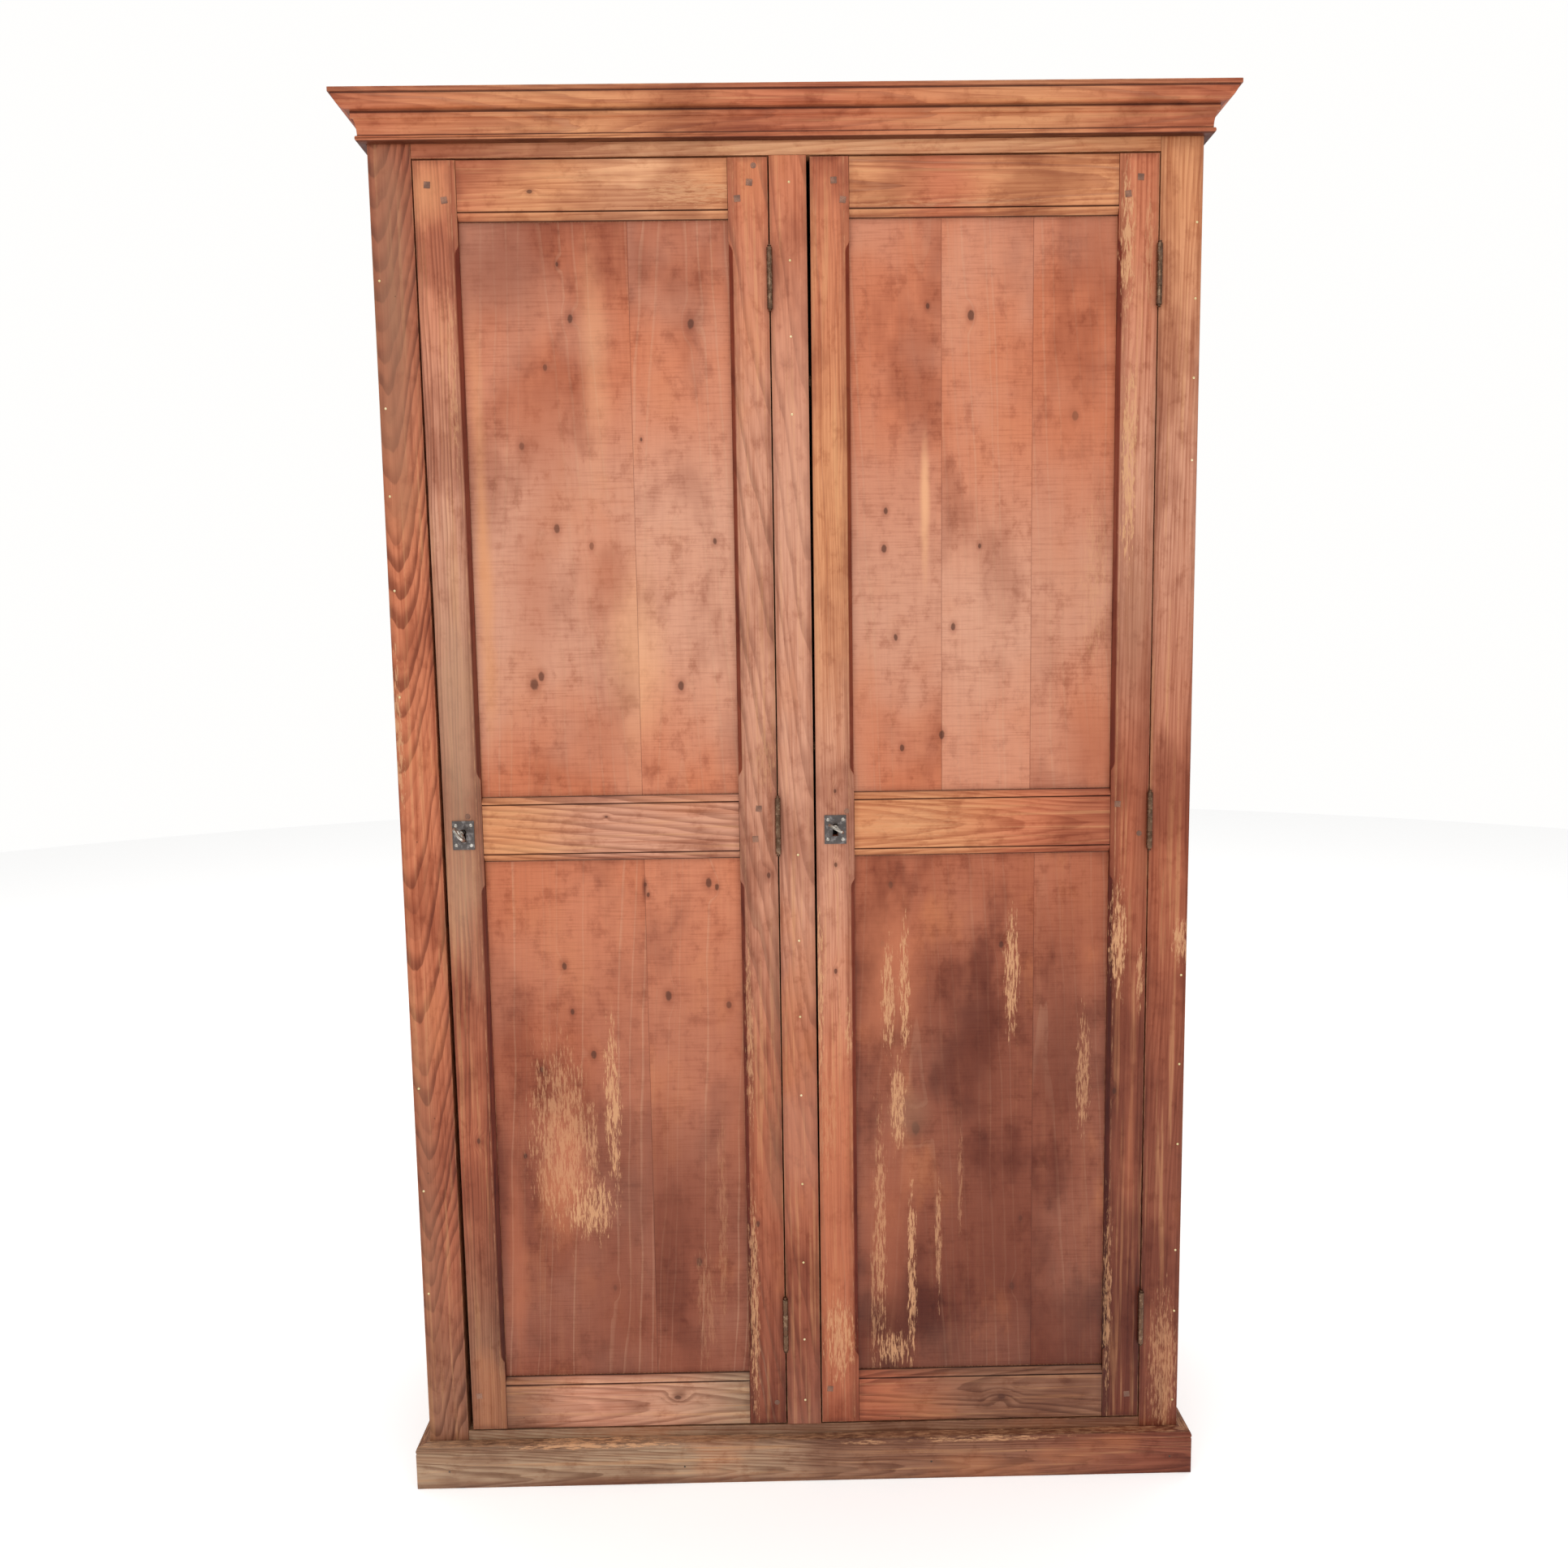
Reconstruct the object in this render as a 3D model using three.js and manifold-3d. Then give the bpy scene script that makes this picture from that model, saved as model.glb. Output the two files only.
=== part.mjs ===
// A two-door pine armoire: a pegged face frame with a plinth and a cornice, two inset panelled doors that
// both hang on their right side, a centre partition, housed shelves, and a rim lock on each door.
// Millimetres. x runs to the right, y from the front face to the back, z up from the floor.
import * as THREE from "three";
import { mergeVertices } from "three/addons/utils/BufferGeometryUtils.js";
import Module from "manifold-3d";

const wasm = await Module();
wasm.setup();

// ---- Sizes ----

const GAP = 0.3; // between pieces that touch, and round each tenon, tongue and dado
const THROUGH = 2; // how far a cutter runs past the face it opens

// Width and depth are the carcass's, and height takes in the cornice.
const ARMOIRE = { width: 1250, depth: 480, height: 2195 };

const FRAME = {
  thickness: 26,
  postWidth: 64,
  mullionWidth: 56,
  headVisible: 20, // head rail that shows between the cornice and the doors
  sillHeight: 58,
  sillTop: 88,
  tenonThickness: 8,
  tenonLength: 30,
  tenonShoulder: 8,
};

const CARCASS = {
  sideThickness: 18,
  tongueThickness: 8, // tongue of each side in its post
  tongueLength: 8,
  dadoDepth: 6,
  partitionThickness: 20,
  partitionDado: 5,
  floorThickness: 20,
  topThickness: 20,
  topBelowCornice: 12, // the top board lies this far under the rim of the cornice
  rabbetWidth: 8,
};

const BACK = { thickness: 12, boards: 4, lap: 8, shrinkage: 1.2 };

const SHELF = { thickness: 17, perSide: 3, aboveUpper: 362, edgeRadius: 3, clearOfLock: 6 };

// Heights are from the cornice's foot up, and the other values are how far it stands out there.
const CORNICE = {
  height: 64,
  projection: 41,
  foot: 8.5,
  beadHeight: 8, // small bead along the foot
  beadSwell: 13.5,
  cove: 10.5, // the shallow cove of the frieze at its deepest
  bandBottom: 30,
  bandTop: 40,
  band: 17.5,
  bandStep: 2.5, // from the band out to the ogee
  ogeePull: [0.57, 0.78, 0.42], // where the curve's two controls lie, as shares of its run and rise
  filletStep: 2.5, // from the ogee out to the fillet
  fillet: 6.5,
};

const PLINTH = {
  height: 73,
  projection: 19,
  nosing: 10.5, // height of the rounded strip along the top
  quirk: 1.2,
  swell: 1.1, // how far the control of the nosing's curve lies outside the face
  roundHeight: 4,
  roundDepth: 6.5,
};

const DOOR = {
  thickness: 24,
  stileWidth: 60,
  topRail: 87,
  midRail: 103,
  bottomRail: 88,
  headGap: 3,
  sillGap: 3,
  tenonThickness: 8,
  tenonLength: 40,
  tenonEndShoulder: 12, // wood left between a mortise and the end of the stile
  twinTenon: 22, // height of each of the mid rail's two tenons, above and below the keyhole
  grooveDepth: 9,
  lip: 8.2, // wood in front of the groove
  panelThickness: 8,
  panelPlay: 1, // room for a panel to swell in its groove
};

const MOULDING = { width: 13, drop: 6.5, quirkWidth: 1.6, quirkDepth: 1.6, step: 0.5, ease: 4 };

// Stopped chamfers on the stiles: the lengths run from a panel opening's ends, and rises gives the size of
// the cut at even steps along each tongue-shaped stop.
const CHAMFER = {
  width: 7.5,
  depth: 6,
  fromTop: 30,
  fromBottom: 22,
  tongue: 20,
  rises: [0.02, 0.1, 0.35, 0.7, 0.93, 1],
  outside: 0.5, // how far outside the arris the cutter starts
};

const HINGE = {
  length: 89,
  fromEnd: 176, // from a door's end to the middle of the hinge next to it
  gap: 2, // between a door and the wood it hangs on
  barrel: 4.5, // radius
  pin: 2.2, // radius
  pinClearance: 0.4,
  pinTip: 3,
  leafDepth: 18,
  leafThickness: 1.8,
  knuckleGap: 0.4,
  middleKnuckle: 0.4, // share of the length
  sides: 16,
};

const LOCK = {
  caseLength: 52,
  caseAbove: 33, // from the key's axis to the top of the case
  caseBelow: 20,
  wall: 1.6,
  fromEdge: 3, // from the door's lock edge to the case
  belowRailMiddle: 2.5, // the key's axis is this far under the middle of the mid rail
  boltBehindFrame: 2, // clearance between the bolt and the back of the frame it passes behind
  boltThickness: 9,
  boltHeight: 12,
  boltLength: 43,
  boltAboveKey: 17,
  boltRetract: 4.6, // room in the case for the bolt to draw further in
  cavity: 17.3, // radius of the space that the bit sweeps
};

// slotTop and slotBottom are half widths, and drop is from the key's axis to the bottom of the slot.
const KEYHOLE = { radius: 4.4, slotTop: 3.4, slotBottom: 4.5, drop: 15.6 };

const PLATE = { width: 34.5, height: 46, thickness: 1.6, belowKey: 5 };

const KEY = {
  shaft: 2.9, // radius
  bow: { width: 27, height: 21, hole: [15, 10], thickness: 3.6 },
  projection: 38.5, // from the door's face to the end of the bow
  collar: { radius: 4, before: 1, behind: 2 }, // ring on the shaft where the bow ends
  sides: 14,
  bit: { reach: 14.8, thickness: 3, depth: 8.2 },
  endClearance: 0.8,
};

// Each door: the gap beside its lock stile at the top and at the foot, where the old frame has moved,
// and how far its key is turned from bit down, anticlockwise seen from the front.
const DOORS = {
  left: { gapTop: 2, gapFoot: 8.5, keyTurn: 38 },
  right: { gapTop: 5.5, gapFoot: 2, keyTurn: 60 },
};

// ---- Colours and finishes ----

const wood = (color) => new THREE.MeshStandardMaterial({ color, roughness: 0.5, metalness: 0 });
const PINE = wood("#b5714a"); // waxed pine of the face frame
const PINE_PALE = wood("#c48a5f"); // door stiles and rails
const PINE_RED = wood("#a9634a"); // door panels
const PINE_RAW = wood("#a98258"); // unfinished boards inside and at the back
const IRON = new THREE.MeshStandardMaterial({ color: "#5b5652", roughness: 0.5, metalness: 0.85 });
const KEY_IRON = new THREE.MeshStandardMaterial({ color: "#77736a", roughness: 0.35, metalness: 0.9 });

// ---- Places that several pieces share ----

const halfWidth = ARMOIRE.width / 2;
const carcassTop = ARMOIRE.height - CARCASS.topBelowCornice;
const corniceBottom = ARMOIRE.height - CORNICE.height;
const headBottom = corniceBottom - FRAME.headVisible;
const openingEdge = halfWidth - FRAME.postWidth; // inner edge of each post
const mullionEdge = FRAME.mullionWidth / 2;
const sideInner = halfWidth - CARCASS.sideThickness;
const insideFront = FRAME.thickness + GAP;
const backFront = ARMOIRE.depth - BACK.thickness;
const insideBack = backFront - GAP;
const floorBottom = FRAME.sillTop - CARCASS.floorThickness;
const topBottom = carcassTop - CARCASS.topThickness;
const caseFront = DOOR.thickness + GAP;
const boltFront = Math.max(FRAME.thickness + LOCK.boltBehindFrame, caseFront + LOCK.wall + GAP);
const boltBack = boltFront + LOCK.boltThickness;
const caseBack = boltBack + GAP + LOCK.wall;
const shelfFront = caseBack + SHELF.clearOfLock;
const tenonFront = (FRAME.thickness - FRAME.tenonThickness) / 2;
const doorBottom = FRAME.sillTop + DOOR.sillGap;
const doorTop = headBottom - DOOR.headGap;
const doorMiddle = (doorBottom + doorTop) / 2;
const keyHeight = doorMiddle - LOCK.belowRailMiddle;
const hingeHeights = {
  top: doorTop - HINGE.fromEnd,
  mid: doorMiddle,
  bottom: doorBottom + HINGE.fromEnd,
};
const pinForward = -(HINGE.barrel + GAP); // the hinge axis, in front of the face
const upperShelfTop = topBottom - SHELF.aboveUpper;
const shelfPitch = (upperShelfTop - FRAME.sillTop) / SHELF.perSide;
const shelfTops = Array.from({ length: SHELF.perSide }, (_, i) => FRAME.sillTop + shelfPitch * (i + 1));

// ---- Shapes ----

const armoire = new THREE.Group();
armoire.name = "armoire";
// The part's origin is on the floor, under the middle of the whole outline with its cornice.
const body = new THREE.Group();
body.position.y = -(ARMOIRE.depth - CORNICE.projection) / 2;
armoire.add(body);

// A closed geometry as a solid, turned outside out if its mapping mirrored it.
function solid(geometry) {
  const bare = new THREE.BufferGeometry();
  bare.setAttribute("position", geometry.getAttribute("position"));
  if (geometry.index) bare.setIndex(geometry.index);
  const merged = mergeVertices(bare, 1e-3);
  const vertProperties = new Float32Array(merged.attributes.position.array);
  const triVerts = new Uint32Array(merged.index.array);
  const made = new wasm.Manifold(new wasm.Mesh({ numProp: 3, vertProperties, triVerts }));
  if (made.volume() > 0) return made;
  return new wasm.Manifold(new wasm.Mesh({ numProp: 3, vertProperties, triVerts: triVerts.reverse() }));
}

// A box between two limits on each axis.
function block([x0, x1], [y0, y1], [z0, z1]) {
  const box = new THREE.BoxGeometry(x1 - x0, y1 - y0, z1 - z0);
  return solid(box.translate((x0 + x1) / 2, (y0 + y1) / 2, (z0 + z1) / 2));
}

// A section drawn in (u, v), run in even steps from 0 to the number of steps, and placed by a mapping.
function run(section, place, steps = 1, curveSegments = 8) {
  const bar = new THREE.ExtrudeGeometry(section, { depth: steps, steps, curveSegments, bevelEnabled: false });
  const at = bar.attributes.position;
  for (let i = 0; i < at.count; i++) at.setXYZ(i, ...place(at.getX(i), at.getY(i), Math.round(at.getZ(i))));
  return solid(bar);
}

const outline = (...points) => new THREE.Shape(points.map(([u, v]) => new THREE.Vector2(u, v)));

// A round bar about an upright or a front-to-back axis.
function roundBar(radius, [from, to], [a, b], axis, sides = HINGE.sides) {
  const bar = new THREE.CylinderGeometry(radius, radius, to - from, sides).translate(0, (from + to) / 2, 0);
  if (axis === "z") bar.rotateX(Math.PI / 2).translate(a, b, 0);
  else bar.translate(a, 0, b);
  return solid(bar);
}

// Adds one named mesh of a solid.
function piece(name, shape, material, parent = body) {
  const { numProp, vertProperties, triVerts } = shape.getMesh();
  const points = new Float32Array((vertProperties.length / numProp) * 3);
  for (let i = 0; i < points.length / 3; i++)
    points.set(vertProperties.subarray(i * numProp, i * numProp + 3), i * 3);
  const geometry = new THREE.BufferGeometry();
  geometry.setAttribute("position", new THREE.BufferAttribute(points, 3));
  geometry.setIndex(new THREE.BufferAttribute(new Uint32Array(triVerts), 1));
  geometry.computeVertexNormals();
  const mesh = new THREE.Mesh(geometry, material);
  mesh.name = name;
  parent.add(mesh);
  return mesh;
}

const grown = ([low, high], by = GAP) => [low - by, high + by];
const mirrored = ([low, high]) => [-high, -low];
const sides = { left: mirrored, right: (span) => span };

// ---- Hinges: the leaves, and the recess that each leaf is let into ----

// Heights of a hinge's knuckles, from the bottom one up.
function knuckles(height) {
  const bottom = height - HINGE.length / 2;
  const middle = (HINGE.length * HINGE.middleKnuckle) / 2;
  return [
    [bottom, height - middle - HINGE.knuckleGap],
    [height - middle, height + middle],
    [height + middle + HINGE.knuckleGap, bottom + HINGE.length],
  ];
}

// The leaf's plate on one side of the axis (-1 door, 1 frame), with a finger to each of its own knuckles.
function leaf(axisX, side, height, own) {
  const across = [axisX + side * GAP, axisX + side * (GAP + HINGE.leafThickness)].sort((a, b) => a - b);
  const tall = [height - HINGE.length / 2, height + HINGE.length / 2];
  let plate = block(across, [GAP, HINGE.leafDepth], tall);
  for (const span of own) {
    plate = plate.add(block(across, [pinForward, GAP + HINGE.leafThickness], span));
    plate = plate.add(roundBar(HINGE.barrel, span, [axisX, pinForward], "z"));
  }
  return plate;
}

function frameLeaf(axisX, height) {
  const [low, , high] = knuckles(height);
  const pinSpan = [low[0] - HINGE.pinTip, high[1] + HINGE.pinTip];
  return leaf(axisX, 1, height, [low, high]).add(
    roundBar(HINGE.pin, pinSpan, [axisX, pinForward], "z"),
  );
}

function doorLeaf(axisX, height) {
  const [, middle] = knuckles(height);
  const bore = roundBar(HINGE.pin + HINGE.pinClearance, grown(middle, THROUGH), [axisX, pinForward], "z");
  return leaf(axisX, -1, height, [middle]).subtract(bore);
}

// The wood that is cut away for a leaf, open at the face and at the edge.
function leafRecess(axisX, side, height) {
  const floorOfRecess = axisX + side * (HINGE.leafThickness + 2 * GAP);
  const across = [axisX, floorOfRecess].sort((a, b) => a - b);
  const tall = grown([height - HINGE.length / 2, height + HINGE.length / 2]);
  return block(across, [-THROUGH, HINGE.leafDepth + GAP], tall);
}

const hingeAxis = { left: -mullionEdge - HINGE.gap / 2, right: openingEdge - HINGE.gap / 2 };

// ---- Face frame: posts, mullion, head rail, sill rail ----

const railTenonDepth = [tenonFront, tenonFront + FRAME.tenonThickness];
const headSpan = [headBottom, carcassTop];
const sillSpan = [FRAME.sillTop - FRAME.sillHeight, FRAME.sillTop];
const tenonSpan = ([low, high]) => [low + FRAME.tenonShoulder, high - FRAME.tenonShoulder];
const tongueDepth = [FRAME.thickness - CARCASS.tongueLength, insideFront + GAP];
const tongueOffset = (CARCASS.sideThickness - CARCASS.tongueThickness) / 2;
const tongueAcross = [
  halfWidth - tongueOffset - CARCASS.tongueThickness,
  halfWidth - tongueOffset,
];

for (const [side, across] of Object.entries(sides)) {
  let post = block(across([openingEdge, halfWidth]), [0, FRAME.thickness], [0, carcassTop]);
  const mortiseAcross = across([openingEdge - THROUGH, openingEdge + FRAME.tenonLength + GAP]);
  for (const span of [headSpan, sillSpan])
    post = post.subtract(block(mortiseAcross, grown(railTenonDepth), grown(tenonSpan(span))));
  const groove = [tongueDepth[0] - GAP, FRAME.thickness + THROUGH];
  post = post.subtract(block(across(grown(tongueAcross)), groove, [-THROUGH, carcassTop + THROUGH]));
  if (side === "right")
    for (const height of Object.values(hingeHeights))
      post = post.subtract(leafRecess(hingeAxis.right, 1, height));
  piece(side + "_post", post, PINE);
}

const mullionTenonAcross = [
  -mullionEdge + FRAME.tenonShoulder,
  mullionEdge - FRAME.tenonShoulder,
];
const mullionTenon = [FRAME.sillTop - FRAME.tenonLength, headBottom + FRAME.tenonLength];
let mullion = block(
  [-mullionEdge, mullionEdge],
  [0, FRAME.thickness],
  [FRAME.sillTop + GAP, headBottom - GAP],
).add(block(mullionTenonAcross, railTenonDepth, mullionTenon));
for (const height of Object.values(hingeHeights))
  mullion = mullion.subtract(leafRecess(hingeAxis.left, 1, height));
piece("centre_mullion", mullion, PINE);

for (const [name, span] of [["head_rail", headSpan], ["sill_rail", sillSpan]]) {
  const shoulder = openingEdge - GAP;
  const tenonEnd = openingEdge + FRAME.tenonLength;
  const mortise = block(grown(mullionTenonAcross), grown(railTenonDepth), grown(mullionTenon));
  const rail = block([-shoulder, shoulder], [0, FRAME.thickness], span)
    .add(block([-tenonEnd, tenonEnd], railTenonDepth, tenonSpan(span)))
    .subtract(mortise);
  piece(name, rail, PINE);
}

// ---- Carcass: sides, partition, floor, top ----

const boardSpans = [
  [floorBottom, FRAME.sillTop],
  ...shelfTops.map((top) => [top - SHELF.thickness, top]),
  [topBottom, carcassTop],
];
const rabbetEdge = sideInner + CARCASS.rabbetWidth;

for (const [side, across] of Object.entries(sides)) {
  let board = block(across([sideInner, halfWidth]), [insideFront, ARMOIRE.depth], [0, carcassTop]);
  board = board.add(block(across(tongueAcross), tongueDepth, [0, carcassTop]));
  for (const span of boardSpans) {
    const dado = across([sideInner - THROUGH, sideInner + CARCASS.dadoDepth]);
    const tall = span[1] === carcassTop ? [span[0] - GAP, span[1] + THROUGH] : grown(span);
    board = board.subtract(block(dado, [insideFront - THROUGH, ARMOIRE.depth - BACK.thickness], tall));
  }
  const rabbet = across([sideInner - THROUGH, rabbetEdge]);
  const rabbetDepth = [backFront - GAP, ARMOIRE.depth + THROUGH];
  board = board.subtract(block(rabbet, rabbetDepth, [floorBottom - GAP, carcassTop + THROUGH]));
  piece(side + "_side", board, PINE);
}

const partitionEdge = CARCASS.partitionThickness / 2;
let partition = block(
  [-partitionEdge, partitionEdge],
  [insideFront, insideBack],
  [FRAME.sillTop + GAP, topBottom - GAP],
);
for (const across of Object.values(sides))
  for (const top of shelfTops) {
    const dado = across([partitionEdge - CARCASS.partitionDado, partitionEdge + THROUGH]);
    const tall = grown([top - SHELF.thickness, top]);
    partition = partition.subtract(block(dado, [insideFront - THROUGH, insideBack + THROUGH], tall));
  }
piece("centre_partition", partition, PINE_RAW);

const housedEdge = sideInner + CARCASS.dadoDepth - GAP;
const insideDepth = [insideFront, insideBack];
piece("floor_board", block([-housedEdge, housedEdge], insideDepth, [floorBottom, FRAME.sillTop]), PINE_RAW);
piece("top_board", block([-housedEdge, housedEdge], insideDepth, [topBottom, carcassTop]), PINE_RAW);

// ---- Back: upright boards, each lapped half its thickness behind the next ----

const backEdge = rabbetEdge - GAP;
const backPitch = (2 * backEdge) / BACK.boards;
const lapMiddle = backFront + BACK.thickness / 2;

for (let i = 0; i < BACK.boards; i++) {
  const first = i === 0;
  const last = i === BACK.boards - 1;
  const left = -backEdge + i * backPitch + (first ? 0 : BACK.shrinkage);
  const right = -backEdge + (i + 1) * backPitch;
  const rearLeft = left + (first ? 0 : BACK.lap);
  const rearRight = right + (last ? 0 : BACK.lap);
  const section = outline(
    [left, backFront],
    [right, backFront],
    [right, lapMiddle + GAP / 2],
    [rearRight, lapMiddle + GAP / 2],
    [rearRight, ARMOIRE.depth],
    [rearLeft, ARMOIRE.depth],
    [rearLeft, lapMiddle - GAP / 2],
    [left, lapMiddle - GAP / 2],
  );
  const board = run(section, (x, y, t) => [x, y, t ? carcassTop : floorBottom]);
  piece("back_board_" + (i + 1), board, PINE_RAW);
}

// ---- Shelves, with a rounded front edge ----

const shelfEnds = [
  partitionEdge - CARCASS.partitionDado + GAP,
  sideInner + CARCASS.dadoDepth - GAP,
];

for (const [side, across] of Object.entries(sides))
  shelfTops.forEach((top, i) => {
    const ends = across(shelfEnds);
    const [low, r] = [top - SHELF.thickness, SHELF.edgeRadius];
    const section = new THREE.Shape()
      .moveTo(insideBack, low)
      .lineTo(insideBack, top)
      .lineTo(shelfFront + r, top)
      .absarc(shelfFront + r, top - r, r, Math.PI / 2, Math.PI)
      .absarc(shelfFront + r, low + r, r, Math.PI, Math.PI * 1.5);
    const shelf = run(section, (y, z, t) => [ends[t], y, z], 1, 4);
    piece(side + "_shelf_" + (i + 1), shelf, PINE_RAW);
  });

// ---- Cornice and plinth: one moulded section each, mitred at the front corners ----

function corniceSection() {
  const c = CORNICE;
  const filletBottom = c.height - c.fillet;
  const ogeeStart = c.band + c.bandStep;
  const ogeeEnd = c.projection - c.filletStep;
  const ogeeRun = ogeeEnd - ogeeStart;
  const [first, second, rise] = c.ogeePull;
  return new THREE.Shape()
    .moveTo(GAP, 0)
    .lineTo(c.foot, 0)
    .quadraticCurveTo(c.beadSwell, 0, c.beadSwell, c.beadHeight / 2)
    .quadraticCurveTo(c.beadSwell, c.beadHeight, c.cove, c.beadHeight)
    .quadraticCurveTo(c.cove, (c.beadHeight + c.bandBottom) / 2, (c.cove + c.band) / 2, c.bandBottom)
    .lineTo(c.band, c.bandBottom)
    .lineTo(c.band, c.bandTop)
    .lineTo(ogeeStart, c.bandTop)
    .bezierCurveTo(
      ogeeStart + first * ogeeRun,
      c.bandTop,
      ogeeStart + second * ogeeRun,
      c.bandTop + rise * (filletBottom - c.bandTop),
      ogeeEnd,
      filletBottom,
    )
    .lineTo(c.projection, filletBottom)
    .lineTo(c.projection, c.height)
    .lineTo(GAP, c.height);
}

function plinthSection() {
  const { height, projection: face, nosing, quirk, swell, roundHeight, roundDepth } = PLINTH;
  const quirkTop = height - nosing;
  const roundStart = height - roundHeight;
  return new THREE.Shape()
    .moveTo(GAP, 0)
    .lineTo(face, 0)
    .lineTo(face, quirkTop - 2 * quirk)
    .lineTo(face - quirk, quirkTop - quirk)
    .lineTo(face - quirk / 2, quirkTop)
    .quadraticCurveTo(face + swell, (quirkTop + roundStart) / 2, face - quirk / 2, roundStart)
    .quadraticCurveTo(face - quirk, height, face - roundDepth, height)
    .lineTo(GAP, height);
}

function mouldedFront(section, base) {
  const end = (p) => halfWidth + p - GAP / 2;
  return run(section, (p, z, t) => [t ? end(p) : -end(p), -p, base + z]);
}

function mouldedReturn(section, base, hand) {
  return run(section, (p, z, t) => [hand * (halfWidth + p), t ? ARMOIRE.depth : -p + GAP, base + z]);
}

for (const [name, section, base] of [
  ["cornice", corniceSection(), corniceBottom],
  ["plinth", plinthSection(), 0],
]) {
  piece(name + "_front", mouldedFront(section, base), PINE);
  piece(name + "_left", mouldedReturn(section, base, -1), PINE);
  piece(name + "_right", mouldedReturn(section, base, 1), PINE);
}

// ---- Doors ----

const grooveBack = DOOR.lip + DOOR.panelThickness + 2 * GAP;
const grooveDepth = [DOOR.lip, grooveBack];
const doorTenon = [DOOR.lip + GAP, DOOR.lip + GAP + DOOR.tenonThickness];
const rails = {
  top: { span: [doorTop - DOOR.topRail, doorTop], moulded: [true, false] },
  mid: {
    span: [doorMiddle - DOOR.midRail / 2, doorMiddle + DOOR.midRail / 2],
    moulded: [true, true],
  },
  bottom: { span: [doorBottom, doorBottom + DOOR.bottomRail], moulded: [false, true] },
};
const panelOpenings = {
  upper: [rails.mid.span[1], rails.top.span[0]],
  lower: [rails.bottom.span[1], rails.mid.span[0]],
};

// Heights of a rail's tenons: one, or two where the lock needs the wood between them.
function tenonsOf(name) {
  const [low, high] = rails[name].span;
  const inner = DOOR.grooveDepth + GAP;
  if (name === "top") return [[low + inner, high - DOOR.tenonEndShoulder]];
  if (name === "bottom") return [[low + DOOR.tenonEndShoulder, high - inner]];
  return [
    [low + inner, low + inner + DOOR.twinTenon],
    [high - inner - DOOR.twinTenon, high - inner],
  ];
}

// A rail's section in (y, z): a panel groove and a moulding on each edge that meets a panel.
function railSection({ span: [low, high], moulded: [below, above] }) {
  const m = MOULDING;
  const section = new THREE.Shape().moveTo(DOOR.thickness, low).lineTo(DOOR.thickness, high);
  const grooved = (edge, way, there) => {
    const groove = [
      [grooveBack, edge],
      [grooveBack, edge + way * DOOR.grooveDepth],
      [DOOR.lip, edge + way * DOOR.grooveDepth],
      [DOOR.lip, edge],
    ];
    for (const [y, z] of there ? groove : groove.reverse()) section.lineTo(y, z);
  };
  if (above) {
    grooved(high, -1, true);
    section.lineTo(m.drop, high);
    const eased = high - m.ease;
    section.bezierCurveTo(m.drop, eased, m.step, eased, m.step, high - m.width + m.quirkWidth);
    section.lineTo(m.quirkDepth, high - m.width + m.quirkWidth / 2);
    section.lineTo(0, high - m.width);
  } else section.lineTo(0, high);
  if (below) {
    section.lineTo(0, low + m.width);
    section.lineTo(m.quirkDepth, low + m.width - m.quirkWidth / 2);
    section.lineTo(m.step, low + m.width - m.quirkWidth);
    section.bezierCurveTo(m.step, low + m.ease, m.drop, low + m.ease, m.drop, low);
    grooved(low, 1, false);
  } else section.lineTo(0, low);
  return section;
}

// The cutter for a stopped chamfer on an upright arris: the corner's triangle, full size between two
// tongue-shaped ends where it rises to nothing.
function chamferCutter(edgeX, intoStile, [low, high]) {
  const { rises, tongue, outside: over } = CHAMFER;
  const pitch = tongue / (rises.length - 1);
  const stations = [
    ...rises.map((size, i) => [low + pitch * i, size]),
    ...rises.toReversed().map((size, i) => [high - tongue + pitch * i, size]),
  ];
  const corner = outline([-over, -over], [1, -over], [-over, 1]);
  return run(
    corner,
    (u, v, k) => {
      const [z, size] = stations[k];
      const x = edgeX + intoStile * (u < 0 ? -over : CHAMFER.width * size);
      return [x, v < 0 ? -over : CHAMFER.depth * size, z];
    },
    stations.length - 1,
  );
}

// Grooves, mortises and chamfers that both stiles share. intoStile points from the panel into the stile.
function workStile(blank, edgeX, intoStile) {
  let stile = blank;
  const inward = (depth) => [edgeX - intoStile * THROUGH, edgeX + intoStile * depth].sort((a, b) => a - b);
  for (const [low, high] of Object.values(panelOpenings)) {
    const groove = [low - DOOR.grooveDepth, high + DOOR.grooveDepth];
    stile = stile.subtract(block(inward(DOOR.grooveDepth), grooveDepth, groove));
    const cutter = chamferCutter(edgeX, intoStile, [low + CHAMFER.fromBottom, high - CHAMFER.fromTop]);
    stile = stile.subtract(cutter);
  }
  for (const name of Object.keys(rails))
    for (const tenon of tenonsOf(name))
      stile = stile.subtract(block(inward(DOOR.tenonLength + GAP), grown(doorTenon), grown(tenon)));
  return stile;
}

// A keyhole's outline about the key's axis: round at the top, with a slot that widens downwards.
function keyholeOutline() {
  const k = KEYHOLE;
  const meet = Math.asin(k.slotTop / k.radius);
  return new THREE.Shape()
    .moveTo(-k.slotBottom, -k.drop)
    .lineTo(k.slotBottom, -k.drop)
    .absarc(0, 0, k.radius, meet - Math.PI / 2, Math.PI * 1.5 - meet);
}

const keyhole = (x, depth) => run(keyholeOutline(), (u, v, t) => [x + u, depth[t], keyHeight + v], 1, 10);

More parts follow.
